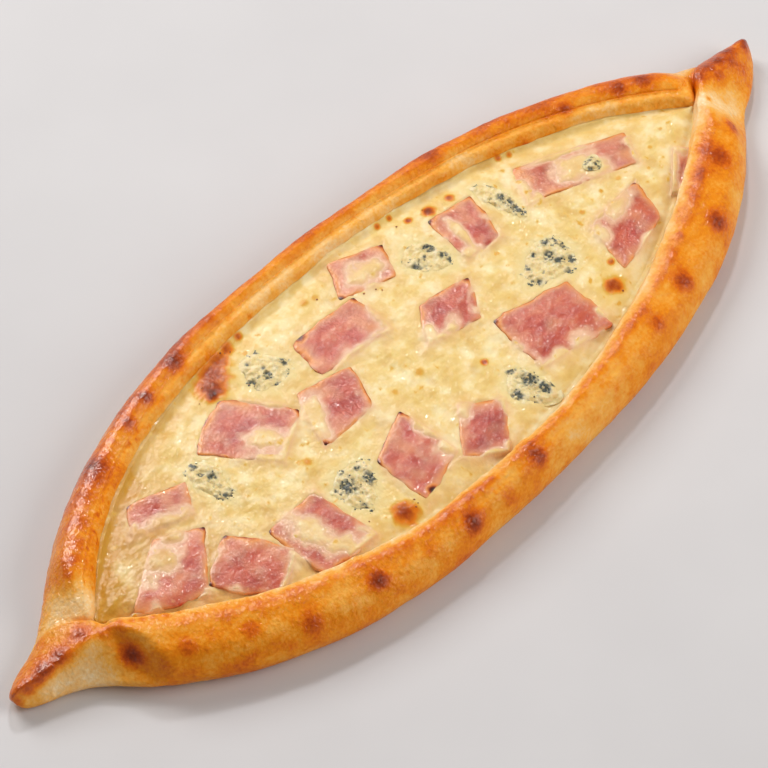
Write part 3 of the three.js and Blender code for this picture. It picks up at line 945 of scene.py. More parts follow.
    def skin(self, x: Array, places: Array) -> Array:
        """Gives the smooth rings of the dough's skin, on centripetal curves through the control points.

        Args:
            x: Places along the boat.
            places: Places round a section.

        Returns:
            Points by station and place, in millimetres.
        """
        halves = ((x[x < 0], self.left_tip), (x[x >= 0], self.right_tip))
        points = np.concatenate([self.section_points(part, tip) for part, tip in halves])
        span = places.astype(int)
        share = (places - span)[None, :, None]
        p0, p1, p2, p3 = (points[:, (span + i) % points.shape[1]] for i in (-1, 0, 1, 2))
        d0, d1, d2 = (
            np.sqrt(np.linalg.norm(b - a, axis=-1, keepdims=True)) for a, b in ((p0, p1), (p1, p2), (p2, p3)))
        least = 1e-4
        d1 = np.where(d1 < least, 1, d1)
        d0, d2 = np.where(d0 < least, d1, d0), np.where(d2 < least, d1, d2)
        t1 = ((p1 - p0) / d0 - (p2 - p0) / (d0 + d1) + (p2 - p1) / d1) * d1
        t2 = ((p2 - p1) / d1 - (p3 - p1) / (d1 + d2) + (p3 - p2) / d2) * d1
        cubic = 2 * (p1 - p2) + t1 + t2
        curve = p1 + share * (t1 + share * (3 * (p2 - p1) - 2 * t1 - t2 + share * cubic))
        distance = self.half_length - np.abs(x)
        lift = self.tip_lift * np.clip(1 - distance / self.lift_run, 0, 1) ** 2
        z = np.maximum(curve[..., 1], lift[:, None])
        nose = np.clip(distance / self.nose_run, 0, 1)
        z = lerp(self.nose_z, z, np.sqrt(nose * (2 - nose))[:, None])
        y = self.middle_y(x)[:, None] + curve[..., 0]
        return np.stack(np.broadcast_arrays(x[:, None], y, z), -1)

    def tip_share(self, x: Array) -> Array:
        """Gives how far each place has changed from the open body to a pinched tip."""
        left = smoothstep(self.left_tip.opening_end - x, *self.left_change)
        return left + smoothstep(x - self.right_tip.opening_end, *self.right_change)

    def build(self, material: Material) -> Piece:
        """Builds the dough with its blisters, ridges and wrinkles.

        Args:
            material: The crust's finish.

        Returns:
            The finished piece.
        """
        even = 2 * np.arange(1, self.stations + 1) / (self.stations + 1) - 1
        x = self.half_length * lerp(np.sin(even * math.pi / 2), even, self.evenness)
        skin = DoughSkin(self, x)
        height, bake = skin.relief(), skin.baking()
        toast, rise = skin.blistering()
        bake = bake + (self.full_toast - bake) * toast * 0.85
        gloss = skin.gloss(toast)
        height += rise * (1 + 0.25 * skin.fine)
        height *= smoothstep(skin.rings[..., 2], 0.5, 4)
        height *= smoothstep(self.half_length - np.abs(skin.along), 0, 6)
        rings = skin.rings + ring_normals(skin.rings) * height[..., None]
        rings[..., 2] = np.maximum(rings[..., 2], 0)
        ends = (-self.half_length, self.half_length)
        points, faces = loft(rings, *(np.array([end, self.middle_y(end), self.nose_z]) for end in ends))
        looks = {"bake": with_poles(np.clip(bake, 0, 1)), "gloss": with_poles(np.clip(gloss, 0, 1))}
        return make_piece("baked_dough", points, faces, material, looks)


class DoughSkin:
    """The dough's smooth skin, point by point: where each lies, its noise, and what the oven made of it."""

    def __init__(self, boat: DoughBoat, x: Array) -> None:
        """Reads the noise at the skin's points.

        Args:
            boat: The dough.
            x: Places along it.
        """
        places = boat.ring_places()
        self.boat, self.rings = boat, boat.skin(x, places)
        self.along, self.around = np.broadcast_arrays(x[:, None], places[None, :])
        self.body = 1 - boat.tip_share(self.along)
        self.noise = noise = Unevenness(boat.seed)
        self.slow = noise.at(self.rings, boat.slow_run)
        self.middle = noise.layered(self.rings, boat.middle_run)
        self.fine = noise.layered(self.rings, boat.fine_run)
        line = np.stack([self.along, 0 * self.along, 0 * self.along], -1)
        self.scallop = noise.at(line + (0, 3, 0), boat.scallop_run)
        self.scallop += 0.6 * noise.at(line + (0, 9, 0), boat.notch_run)
        self.far_left = self.body * smoothstep(-self.along, *boat.far_left_span)
        self.far_left = self.far_left * (self.around > Rim.CREASE.value)
        self.far_left_top = smoothstep(self.around, *boat.glossy_start)
        self.far_left_top = self.far_left_top * smoothstep(-self.along, *boat.glossy_span)
        self.ridge = self.band(Rim.NEAR_RIDGE, 0.2, 0.45)
        self.ridge += 0.6 * self.band(Rim.FAR_LIP, 0.2, 0.4) + 0.4 * self.band(Rim.FAR_LIP, 1.1, 0.4)

    def band(self, place: Rim, shift: float, width: float) -> Array:
        """Gives a soft band along the boat, at a shift from a place round the section."""
        return bell((self.around - (place.value + shift)) / width)

    def relief(self) -> Array:
        """Gives how far the skin swells outwards.

        Returns:
            Heights in millimetres: waves, and the ridges, notches, grooves and rolls of the folds.
        """
        waves = 0.45 * self.slow + 0.22 * self.middle + (0.06 + 0.09 * self.far_left_top) * self.fine
        ridge = self.band(Rim.NEAR_RIDGE, 0.3, 0.5) * (0.35 + 0.35 * self.scallop)
        valley = 0.45 * self.band(Rim.NEAR_RIDGE, -0.8, 0.4)
        notches = 0.55 * self.band(Rim.NEAR_LIP, 0, 0.7) * self.scallop
        far_notches = 0.25 * self.band(Rim.FAR_LIP, -0.6, 0.5) * self.scallop
        groove = (0.22 + 0.48 * smoothstep(self.along, *self.boat.groove_span)) * (1 - 0.9 * self.far_left)
        groove = groove * self.band(Rim.FAR_LIP, 0.55, 0.4)
        roll = self.band(Rim.FAR_WALL, 0.7, 0.5) * (1.8 + 0.4 * self.middle) * (1 - 0.5 * self.far_left)
        return waves + self.body * (ridge - valley + notches + far_notches - groove + roll)

    def baking(self) -> Array:
        """Gives how far the skin is baked before its blisters.

        Returns:
            Values from about 0, raw and pale, to 1, burnt.
        """
        boat, noise, rings = self.boat, self.noise, self.rings
        folded = 0.5 * noise.at(rings * (1, 0.3, 0.3) + 50, boat.fold_run)
        folded += 0.35 * noise.at(rings + 70, boat.speckle_run)
        ragged = self.around + folded * self.band(Rim.NEAR_LIP, -1, 1.1)
        bake = np.interp(ragged, *zip(*boat.body_bake))
        left, right = (np.interp(self.around, *zip(*table)) for table in (boat.left_bake, boat.right_bake))
        bake = lerp(bake, np.where(self.along < 0, left, right), 1 - self.body)
        near_left = smoothstep(-self.along, *boat.near_left_span) * (self.around < Rim.CREASE.value)
        speckles = smoothstep(noise.layered(rings + 120, boat.speckle_run, 2), 0.25, 0.8)
        bake += self.far_left * self.band(Rim.FAR_WALL, 1, 0.8) * (0.1 + 0.3 * speckles)
        pale = 0.08 * self.band(Rim.FAR_RIDGE, 0.5, 2) + 0.1 * self.band(Rim.FAR_LIP, 0.4, 0.4)
        bake -= self.far_left * pale
        browned = self.ridge * (0.08 + 0.14 * np.maximum(self.scallop, 0)) * (1 - 0.5 * near_left)
        bake += self.body * (browned + 0.04 * near_left * self.band(Rim.NEAR_RIDGE, -3.5, 2))
        streak = noise.layered(rings * (0.35, 1.6, 1.6), boat.streak_run)
        bake += 0.14 * self.slow + 0.1 * self.middle + 0.04 * streak
        # The pale marks pull the baking paler: real pale folds at the necks, and at (-157, -14) painted light
        # over a self-shadowed hollow.
        for mark in boat.pale_necks_and_painted_light:
            bake = lerp(bake, mark.toast, 0.9 * bell(mark.distance(rings)))
        return bake

    def blistering(self) -> tuple[Array, Array]:
        """Gives what the blisters and browned marks add.

        Returns:
            How dark they are, from 0 to 1, and how far they rise, in millimetres.
        """
        toast, rise = np.zeros_like(self.slow), np.zeros_like(self.slow)
        ragged = 1 + 0.22 * self.middle + 0.1 * self.fine
        for mark in self.boat.blisters + self.boat.wall_marks:
            reach = mark.distance(self.rings) * ragged
            core = 1 - smoothstep(reach, 0.1, 1.5)
            toast = np.maximum(toast, mark.toast * (0.7 * core + 0.3 * bell(reach / 2.1)))
            rise += 0.12 * mark.reach * mark.toast * bell(reach)
        return toast, rise

    def gloss(self, toast: Array) -> Array:
        """Gives how thick the egg wash lies.

        Args:
            toast: How dark the blisters are.

        Returns:
            Values from about 0 to 1, highest on the top of the far rim's left half.
        """
        gloss = 0.22 + 0.4 * toast + 0.25 * self.ridge + 0.2 * (1 - self.body)
        gloss += 0.2 * self.middle + 0.15 * self.fine
        return gloss + 0.6 * self.far_left_top * (1 - smoothstep(self.around, *self.boat.glossy_end))


@dataclass(frozen=True)
class HamSlice:
    """One piece of ham: its middle, turn, sides, lean and taper, the cheese over it and its burnt corners.

    A veil is a place and two reaches in shares of the half sides; a corner is a pair of such shares.
    """

    x: float
    y: float
    turn: float
    length: float
    width: float
    lean: float
    taper: float
    veils: tuple[tuple[float, float, float, float], ...] = ()
    burns: Pairs = ()
    easing: float = 0.05

    def sides(self) -> tuple[Array, Array]:
        """Gives the slice's sides.

        Returns:
            The half long side and the half short side, as vectors.
        """
        turns = (math.radians(self.turn), math.radians(self.turn + 90 + self.lean))
        long, short = (np.array([math.cos(turn), math.sin(turn)]) for turn in turns)
        return 0.5 * self.length * long, 0.5 * self.width * short

    def place(self, a: Array, b: Array) -> Array:
        """Gives places on the slice, with eased corners.

        Args:
            a: Shares of the half long side.
            b: Shares of the half short side.

        Returns:
            x and y.
        """
        long, short = self.sides()
        easing = (1 - self.easing * a * a * b * b)[..., None]
        across = (b * (1 + self.taper * a))[..., None] * short
        return (self.x, self.y) + easing * (a[..., None] * long + across)

    def shares(self, points: Array) -> tuple[Array, Array]:
        """Gives where points lie on the slice.

        Args:
            points: Points, with x and y first.

        Returns:
            Shares of the half long side and of the half short side.
        """
        turned = np.linalg.inv(np.stack(self.sides()))
        a, b = np.moveaxis((points[..., :2] - (self.x, self.y)) @ turned, -1, 0)
        return a, b / (1 + self.taper * np.clip(a, -1, 1))

    def veil(self, a: Array, b: Array) -> Array:
        """Gives how far places lie inside a veil of cheese.

        Args:
            a: Shares of the half long side.
            b: Shares of the half short side.

        Returns:
            Values above 0 inside, and below it outside.
        """
        cover = np.full(a.shape, -3.0)
        for at_a, at_b, reach_a, reach_b in self.veils:
            cover = np.maximum(cover, 1 - np.hypot((a - at_a) / reach_a, (b - at_b) / reach_b))
        return cover


@dataclass(frozen=True)
class BluePatch:
    """One patch of blue cheese: its middle, turn, sides, and each clump of mould as an offset and a reach."""

    x: float
    y: float
    turn: float
    length: float
    width: float
    clumps: tuple[Triple, ...]
    on_ham: bool = False
    lobe: float = 0.1

    def reach(self, angle: Array) -> Array:
        """Gives the outline's reach at each angle, as a share."""
        return (1 + self.lobe * np.sin(3 * angle + self.x)) / (1 + self.lobe)

    def place(self, share: Array, angle: Array) -> Array:
        """Gives places on the patch.

        Args:
            share: How far out they lie.
            angle: The direction from the middle.

        Returns:
            x and y.
        """
        cos, sin = math.cos(math.radians(self.turn)), math.sin(math.radians(self.turn))
        across = 0.5 * share * self.reach(angle)
        u, v = across * self.length * np.cos(angle), across * self.width * np.sin(angle)
        return np.stack([self.x + u * cos - v * sin, self.y + u * sin + v * cos], -1)

    def share(self, points: Array) -> Array:
        """Gives how far out of the patch points lie.

        Args:
            points: Points, with x and y first.

        Returns:
            Shares of its outline.
        """
        cos, sin = math.cos(math.radians(self.turn)), math.sin(math.radians(self.turn))
        dx, dy = points[..., 0] - self.x, points[..., 1] - self.y
        u = (dx * cos + dy * sin) / (0.5 * self.length)
        v = (dy * cos - dx * sin) / (0.5 * self.width)
        return np.hypot(u, v) / self.reach(np.arctan2(v, u))


HAM = (
    HamSlice(-113.5, 20.5, -22, 24, 14.5, -11, 0, ((0.3, -0.95, 0.9, 0.6),), ((-1, 1),)),
    HamSlice(-128.2, -0.6, 38, 31, 23.5, 22, -0.17,
             ((0.3, 0.55, 0.55, 0.6), (0.9, 0.2, 0.25, 0.5)), ((1, -1),)),
    HamSlice(-109.5, -19.6, -57, 27, 22, -5, -0.07, ((-1.0, 0.2, 0.16, 0.4),), ((-1, 1), (-1, -1))),
    HamSlice(-83.5, -28, -87, 28.5, 25, -7, 0,
             ((-0.2, -0.15, 1.0, 0.4), (0.75, 0.2, 0.3, 0.3)), ((-1, -1),)),
    HamSlice(-67.5, 20.5, -56, 32, 26, -7, -0.03, ((0.45, -0.3, 0.45, 0.4),), ((-1, 1), (1, 1))),
    HamSlice(13.5, 39.5, -21, 23.5, 17.5, -11, -0.05, ((0.15, -0.15, 0.75, 0.7),), ((1, 1), (-1, -1))),
    HamSlice(-14.5, 25, -5, 33, 20, -4, 0.08, ((0.1, -0.9, 0.5, 0.16),), ((-0.7, 1), (1, 1))),
    HamSlice(-38, 5.5, -7, 25, 24, -18, -0.12, ((-0.85, 0.0, 0.4, 0.8),), ((-1, -1),)),
    HamSlice(20, 3, -13, 23.5, 19.5, -23, 0.04,
             ((-0.1, -0.75, 0.28, 0.4), (-0.9, -0.4, 0.3, 0.5)), ((1, 1),)),
    HamSlice(-37, -30.5, 18, 24.5, 26, -18, 0.08,
             ((0.85, -0.75, 0.4, 0.35),), ((-1, 1), (1, 1), (-0.6, -1))),
    HamSlice(-11.5, -40.5, 46, 24, 17.5, 7, 0, ((0.75, 0.8, 0.4, 0.4),), ()),
    HamSlice(41, -28.5, -12, 34, 27, 4, -0.04, ((0.1, -1.0, 0.3, 0.35),), ((-1, 1),)),
    HamSlice(95, -18.5, 8, 29, 22, -26, -0.11, ((0.0, 0.8, 0.6, 0.45), (-0.9, 0.5, 0.3, 0.5)), ((1, 1),)),
    HamSlice(103, 13, -24, 46, 17.5, -7, -0.08,
             ((-0.05, -0.05, 0.36, 0.75), (0.3, -0.5, 0.3, 0.5), (-0.2, 0.9, 0.6, 0.2)), ()),
    HamSlice(54, 24, 76, 23.5, 19, 5, 0.11, ((-0.1, 0.35, 0.85, 0.22), (-0.9, 0.7, 0.3, 0.5)), ((1, 1),)),
    HamSlice(127.7, -16.8, 38, 22, 6.5, 5, 0, ((0.0, 1.0, 1.3, 0.6), (1.0, 0.2, 0.3, 1.2)), ()),
)

BLUE = (
    BluePatch(-43.5, 35, -51, 24, 21, (
        (4, 8, 1.2), (7.5, -2.5, 1.8), (-2.5, 6, 0.8), (-7, 4, 1), (-8, -1, 2), (-1, -2.5, 1.5),
        (0, 0.5, 0.8), (-1.5, -8, 1), (4, -8, 1), (6, -9, 1), (1, 10.5, 0.8))),
    BluePatch(-92.5, 16.5, -92, 27, 14.5, (
        (-2, 12.5, 1.8), (1.5, 12, 1.4), (0.5, 8.5, 1.6), (-3.5, 9, 1.2), (-0.5, 3.5, 1), (1.5, 0, 1.6),
        (6, -4, 0.8), (-6, -5.5, 1.6), (-4.5, -9.5, 2.2), (1.5, -11, 1.6), (-1.5, -9, 1))),
    BluePatch(-60, -23.5, 41, 27.5, 20, (
        (9.5, 8, 1.8), (0.5, 7.5, 1), (5.5, 4.5, 1), (-2.5, 1.5, 3), (5.5, -2, 2.5), (-9, -0.5, 1.2),
        (-8.5, -7, 1.6), (-5.5, -9.5, 2), (11, 0, 1))),
    BluePatch(13.5, -40.5, -73, 25, 18, (
        (1, 10.5, 2), (2.5, 2, 3), (3.5, -4, 2.4), (-6, 0.5, 2), (-6, -6.5, 1.6), (6.5, -5.5, 1))),
    BluePatch(61.5, -8.5, 10, 30, 23, (
        (6, 6.5, 1.6), (10, 5, 1.8), (10, 0, 1.8), (2, 1, 2), (2.5, -3, 1.8), (6.5, -6, 1.6),
        (2.5, -10, 2), (-1.5, 5.5, 1), (-8.5, 5.5, 1.6), (-13, 2.5, 1.8), (-12.5, -2, 1.6),
        (-10, -4, 1.2), (-7.5, -6.5, 1), (-7.5, 3, 1))),
    BluePatch(72, 25, -86, 31, 11, (
        (0, 11.5, 1.6), (4, 10, 1), (3.5, 5.5, 1), (1, -1, 1.6), (1, -5, 1.8), (1, -9, 2),
        (1, -12.5, 1.6))),
    BluePatch(33.5, 26, -56, 25, 18, (
        (-0.5, 8.5, 1), (4, 2, 1.8), (5, -4, 1.6), (5.5, -7.5, 1.6), (-6, -1, 1.8), (-1, -8.5, 1),
        (0, 0, 0.8))),
    BluePatch(107.5, 9, 20, 9, 7, ((-2, 2, 1), (1, 1.5, 1.2), (0.5, -2, 1.4), (-3, -1.5, 1)), True),
)


@dataclass
class Filling:
    """The melted cheese and what lies in it: the slices of ham and the patches of blue cheese."""

    boat: DoughBoat
    dome: float = 1.3
    ripple: float = 0.35
    bed_rise: float = 1.0
    swell: float = 1.7
    cling: float = 0.5
    climb: float = 1.5
    climb_run: float = 2.2
    left_lumps_span: tuple[float, float] = (70.0, 130.0)
    left_oil_span: tuple[float, float] = (85.0, 140.0)
    far_oil_span: tuple[float, float] = (20.0, 80.0)
    wall_oil_run: float = 2.4
    freckle_run: float = 3.4
    lay_gap: float = 0.5
    lap_reach: float = 3.0
    bare_corner: float = 12.0
    burn_reach: float = 4.2
    ham_thickness: float = 1.75
    ham_wave: float = 0.28
    blue_thickness: float = 2.2
    slab_bulge: float = 0.15
    left_gap: float = 0.8
    right_gap: float = 0.6
    near_sink: float = 1.3
    far_sink: float = 2.2
    base_share: float = 0.93
    base_gap: float = 0.6
    stations: int = 430
    across: int = 170
    evenness: float = 0.75
    ham_rounds: int = 140
    blue_rounds: int = 200
    blue_rings: int = 38
    seed: int = 23
    ham_seed: int = 30
    blue_seed: int = 74

    spots: tuple[Mark, ...] = (
        Mark(69.3, -33.2, 0, 4.8, 0.72), Mark(76.8, -25.6, 0, 1.8, 0.6), Mark(-57.2, -43.7, 0, 5.4, 0.72),
        Mark(11, -21.3, 0, 1.8, 0.75), Mark(51.1, 40.3, 0, 3.2, 0.8), Mark(43.1, 43, 0, 1.9, 0.7),
        Mark(39.5, 49, 0, 1.5, 0.6), Mark(33.7, 49.8, 0, 1.5, 0.6), Mark(-64.1, -4.4, 0, 2.4, 0.35),
        Mark(-11.1, 45.3, 0, 2.5, 0.28), Mark(-6.8, 43.9, 0, 2.0, 0.28), Mark(87.5, -2.9, 0, 1.5, 0.35),
        Mark(99.9, -1.7, 0, 1.2, 0.3), Mark(108.9, -2.3, 0, 1.5, 0.3), Mark(61, 38.6, 0, 2.2, 0.65),
        Mark(-7.8, -7.4, 0, 2.4, 0.26), Mark(-20.3, -6.6, 0, 2.0, 0.26), Mark(128.7, -1.3, 0, 1.2, 0.3),
        Mark(-61.5, 44, 0, 7.0, 0.78), Mark(-57, 47.5, 0, 7.0, 0.74), Mark(-51, 50.5, 0, 6.0, 0.62),
        Mark(-45, 52, 0, 3.4, 0.65), Mark(-64, 41.5, 0, 3.6, 0.95), Mark(-38, 52.8, 0, 2.0, 0.6),
        Mark(92, 36, 0, 1.6, 0.5), Mark(88, 38, 0, 1.6, 0.6), Mark(-70, 8, 0, 1.6, 0.45),
    )

    def __post_init__(self) -> None:
        """Draws the filling's noise."""
        self.noise = Unevenness(self.seed)

    def flat_points(self, x: Array, y: Array) -> Array:
        """Gives points of the filling's plan for reading noise."""
        return np.stack(np.broadcast_arrays(x, y, 0.0 * x), -1)

    def far_distance(self, x: Array, y: Array) -> Array:
        """Gives the distance in from the far wall of the dough."""
        return self.boat.middle_y(x) + self.boat.far.opening.at(x) - y

    def wall_distance(self, x: Array, y: Array) -> Array:
        """Gives the distance in from the nearer wall of the dough."""
        near = y - self.boat.middle_y(x) + self.boat.near.opening.at(x)
        return np.minimum(near, self.far_distance(x, y))

    def bed(self, x: Array, y: Array) -> Array:
        """Gives the height that the toppings lie on: a low dome with slow ripples, and their gap.

        Args:
            x: Places along the boat.
            y: Places across it.

        Returns:
            The heights.
        """
        across = y - self.boat.middle_y(x)
        wall = np.maximum(np.where(across < 0, self.boat.near.opening.at(x), self.boat.far.opening.at(x)), 1)
        dome = self.dome * (1 - np.minimum(1, (across / wall) ** 2))
        ripple = self.ripple * np.sin(x / 13 + 0.7) * np.cos(y / 11 - 0.4)
        edge = self.boat.cheese_edge_z
        return np.maximum(edge + dome + ripple * np.minimum(1, dome), edge) + self.bed_rise + self.lay_gap

    def ham_top(self, x: Array, y: Array) -> Array:
        """Gives the height of the ham's top, which waves a little."""
        return self.bed(x, y) + self.ham_thickness + self.ham_wave * self.noise.at(self.flat_points(x, y), 9)

    def cover(self, piece: HamSlice, flat: Array) -> tuple[Array, Array]:
        """Gives how the cheese runs over a slice of ham: its veils, and a ragged lap along parts of its edge.

        Args:
            piece: The slice.
            flat: The points.

        Returns:
            How far each place lies inside the cheese, above 0 where it is covered, and its distance in from
            the slice's edge.
        """
        a, b = piece.shares(flat)
        inside = np.minimum((1 - np.abs(a)) * piece.length / 2, (1 - np.abs(b)) * piece.width / 2)
        lower = (piece.y - flat[..., 1]) / (0.4 * (piece.length + piece.width))
        lap = self.lap_reach * smoothstep(self.noise.layered(flat + 77, 15, 2) + 0.5 * lower, -0.2, 0.5)
        for at_a, at_b in piece.burns:
            lap *= 1 - bell(np.hypot((a - at_a) * piece.length, (b - at_b) * piece.width) / self.bare_corner)
        lapped = (lap - inside) / 3 - 0.9 * (1 - lap / self.lap_reach)
        ragged = 0.5 * self.noise.layered(flat + 19, 7, 4)
        return np.maximum(piece.veil(a, b), lapped) + ragged - 0.15, inside

    def level(self, x: Array, y: Array) -> Array:
        """Gives the cheese's own height, with its lumps and where it clings to the walls.

        Args:
            x: Places along the boat.
            y: Places across it.

        Returns:
            The heights.
        """
        flat, noise = self.flat_points(x, y), self.noise
        inside = self.wall_distance(x, y)
        lumps = 0.36 * noise.at(flat + 5, 10) + 0.32 * noise.at(flat + 11, 4.5)
        lumps += (0.16 + 0.14 * smoothstep(-x, *self.left_lumps_span)) * noise.layered(flat, 2.2, 2)
        height = self.bed(x, y) - self.lay_gap + self.swell * smoothstep(inside, 0.5, 8)
        height += lumps * smoothstep(inside, 0, 3) + self.cling * fading(inside, 1.2)
        climb = self.climb * fading(self.far_distance(x, y), self.climb_run)
        return height + climb * smoothstep(self.boat.far.opening.at(x), 8, 25)

    def run_over_ham(self, flat: Array, height: Array) -> tuple[Array, Array]:
        """Runs the cheese up to the slices of ham and over parts of them.

        Args:
            flat: The points.
            height: The cheese's own heights.

        Returns:
            The new heights, and how far the ham shows through thin cheese, from 0 to 1.
        """
        veil, top = np.zeros_like(height), self.ham_top(flat[..., 0], flat[..., 1])
        for piece in HAM:
            cover, within = self.cover(piece, flat)
            near = within > -6
            outside = np.minimum(within, 0)
            thin = top + 0.5 * np.clip(1.8 * cover, -1, 1)
            under = smoothstep(within, -0.4, 0.5)
            free = height + (0.25 + 0.3 * smoothstep(cover, 0, 0.8)) * bell(outside / 1.8)
            held = np.maximum(np.minimum(free, top - 0.55), np.where(cover > -0.55, thin, -9))
            height = np.where(near, lerp(free, held, under), height)
            over = (1 - smoothstep(height - top, 0.0, 0.6)) * (cover > -0.6)
            beside = (0.35 + 0.4 * smoothstep(cover, -0.4, 0.4)) * fading(-outside, 2.4)
            shown = lerp(beside, np.maximum(over, 0.35), under)
            veil = np.where(near, np.maximum(veil, shown), veil)
        return height, veil

    def browning(self, flat: Array) -> tuple[Array, Array]:
        """Gives the toasted spots and freckles of the cheese.

        Args:
            flat: The points.

        Returns:
            How brown each place is, from 0 to 1, and how far it rises, in millimetres.
        """
        brown, rise = np.zeros(flat.shape[:-1]), np.zeros(flat.shape[:-1])
        ragged = 1 + 0.25 * self.noise.layered(flat + 3, 4, 2)
        for spot in self.spots:
            reach = spot.distance(flat) * ragged
            toast = 0.8 * (1 - smoothstep(reach, 0.2, 1.25)) + 0.2 * bell(reach / 1.5)
            brown = np.maximum(brown, spot.toast * toast)
            rise += 0.06 * spot.reach * bell(reach)
        freckles = self.noise.layered(flat + 41, self.freckle_run, 2) + 0.35 * self.noise.at(flat + 47, 40)
        return np.maximum(brown, 0.25 * smoothstep(freckles, 0.38, 0.95)), rise

    def oiling(self, flat: Array) -> Array:
        """Gives how oily the cheese is.

        Args:
            flat: The points.

        Returns:
            Values from about 0 to 1: along the walls, in pools, by the far left wall and at the left end.
        """
        x, y, noise = flat[..., 0], flat[..., 1], self.noise
        oil = 0.4 * fading(self.wall_distance(x, y), self.wall_oil_run) * (0.6 + 0.4 * noise.at(flat + 8, 14))
        oil += 0.35 * smoothstep(noise.layered(flat + 29, 8, 2), 0.25, 0.8)
        by_wall = bell(np.maximum(self.far_distance(x, y) - 2, 0) / 6)
        oil += 0.4 * smoothstep(-x, *self.far_oil_span) * by_wall
        return oil + smoothstep(-x, *self.left_oil_span) * (0.85 + 0.65 * noise.layered(flat + 83, 9, 3))

    def surface(self, x: Array, y: Array) -> tuple[Array, dict[str, Array]]:
        """Gives the cheese's surface with its lumps, the thin cheese over the ham and its browned spots.

        Args:
            x: Places along the boat.
            y: Places across it.

        Returns:
            The heights, and what the finish reads.
        """
        flat = self.flat_points(x, y)
        height, veil = self.run_over_ham(flat, self.level(x, y))
        tint, bed = np.zeros_like(height), self.bed(x, y)
        ragged = 0.16 * self.noise.layered(flat + 61, 5, 3)
        for patch in BLUE:
            share = patch.share(flat)
            tint = np.maximum(tint, 1 - smoothstep(share + ragged, 0.85, 1.35))
            if not patch.on_ham:
                sunk = np.minimum(height, bed + 0.4)
                height = lerp(sunk, height, smoothstep(share, 0.56, 0.78))
        brown, rise = self.browning(flat)
        looks = {"brown": brown, "oil": self.oiling(flat), "veil": veil, "tint": tint}
        return height + rise, {name: np.clip(values, 0, 1) for name, values in looks.items()}

    def build_cheese(self, material: Material) -> Piece:
        """Builds the cheese, which runs a little into the dough's walls.

        Args:
            material: The cheese's finish.

        Returns:
            The finished piece.
        """
        near, far = self.boat.near.opening, self.boat.far.opening
        x = np.linspace(near.left_end + self.left_gap, near.right_end - self.right_gap, self.stations)
        even = np.linspace(-1, 1, self.across)
        share = lerp(np.sin(even * math.pi / 2), even, self.evenness)
        span = np.where(share < 0, near.at(x)[:, None] + self.near_sink, far.at(x)[:, None] + self.far_sink)
        middle = self.boat.middle_y(x)[:, None]
        grid_x, y = np.broadcast_arrays(x[:, None], middle + share * span)
        z, looks = self.surface(grid_x, y)
        top = np.stack([grid_x, y, z], -1)
        base = top[:, ::-12].copy()
        base[..., 1] = lerp(middle, base[..., 1], self.base_share)
        base[..., 2] = self.boat.floor_z + self.base_gap
        rings = np.concatenate([top, base], axis=1)
        ends = [rings[i].mean(axis=0) + (step, 0, 0) for i, step in ((0, -0.6), (-1, 0.5))]
        points, faces = loft(rings, *ends)
        extra = np.zeros(base.shape[:2])
        looks = {name: with_poles(np.concatenate([values, extra], axis=1)) for name, values in looks.items()}
        return make_piece("melted_cheese", points, faces, material, looks)

    def build_slab(
        self, name: str, plan: Array, top: Array, base: Array, looks: dict[str, Array], material: Material,
    ) -> Piece:
        """Builds a closed slab from rings of its plan.

        Args:
            name: The piece's name.
            plan: x and y by ring, from the middle out, and by place round the ring.
            top: The heights of its top.
            base: The heights of its underside.
            looks: Values at the points of its top.
            material: Its finish.

        Returns:
            The finished piece.
        """
        upper = np.concatenate([plan, top[..., None]], -1)
        lower = np.concatenate([plan, base[..., None]], -1)[::-4]
        side = lerp(upper[-1], lower[0], 0.5)
        outward = side[:, :2] - plan.mean(axis=(0, 1))
        side[:, :2] += self.slab_bulge * outward / np.linalg.norm(outward, axis=1, keepdims=True)
        rings = np.concatenate([upper, side[None], lower])
        points, faces = loft(rings, upper[0].mean(axis=0), lower[-1].mean(axis=0))
        spread = {}
        for look, values in looks.items():
            edge = np.repeat(values[-1:], 1 + len(lower), 0)
            spread[look] = with_poles(np.concatenate([values, edge]))
        return make_piece(name, points, faces, material, spread)

    def build_ham(self, index: int, material: Material) -> Piece:
        """Builds one slice of ham with its wavy top and its seared edges.

        Args:
            index: Its place in the list, from 0.
            material: The ham's finish.

        Returns:
            The finished piece.
        """
        piece, noise = HAM[index], Unevenness(self.ham_seed + index)
        outs = np.concatenate([np.linspace(0.05, 0.9, 15), [0.94, 0.97, 0.99, 1.0]])[:, None]
        angle = 2 * math.pi * np.arange(self.ham_rounds) / self.ham_rounds
        square = np.maximum(np.abs(np.cos(angle)), np.abs(np.sin(angle)))
        a, b = (outs * (turn(angle) / square) for turn in (np.cos, np.sin))
        plan = piece.place(a, b)
        flat = self.flat_points(plan[..., 0], plan[..., 1])
        ragged = 1 + 0.07 * noise.layered(flat, 9, 3) * outs ** 3
        plan = (piece.x, piece.y) + (plan - (piece.x, piece.y)) * ragged[..., None]
        x, y = plan[..., 0], plan[..., 1]
        edge = (1 - outs + 0 * a) * 0.5 * min(piece.length, piece.width)
        curl = np.maximum(noise.at(flat, 14), 0) * fading(edge, 2.5)
        top = self.ham_top(x, y) + 0.1 * noise.layered(flat, 3.5, 2) + 0.5 * curl - 0.35 * fading(edge, 0.35)
        base = self.bed(x, y) + 0.15 * curl
        cover, _ = self.cover(piece, self.flat_points(x, y))
        film = smoothstep(cover, -0.75, 0.1) + 0.25 * smoothstep(noise.layered(flat + 21, 6, 3), 0.3, 0.9)
        film = np.clip(film + 0.5 * fading(edge, 0.6) * smoothstep(noise.at(flat + 31, 6), 0, 0.5), 0, 1)
        upper = (y - piece.y) / (0.4 * (piece.length + piece.width))
        sear = fading(edge, 1.3) * (0.4 + 0.22 * upper + 0.4 * noise.layered(flat + 3, 7, 2))
        sear += 0.2 * np.maximum(noise.at(flat + 9, 8), 0)
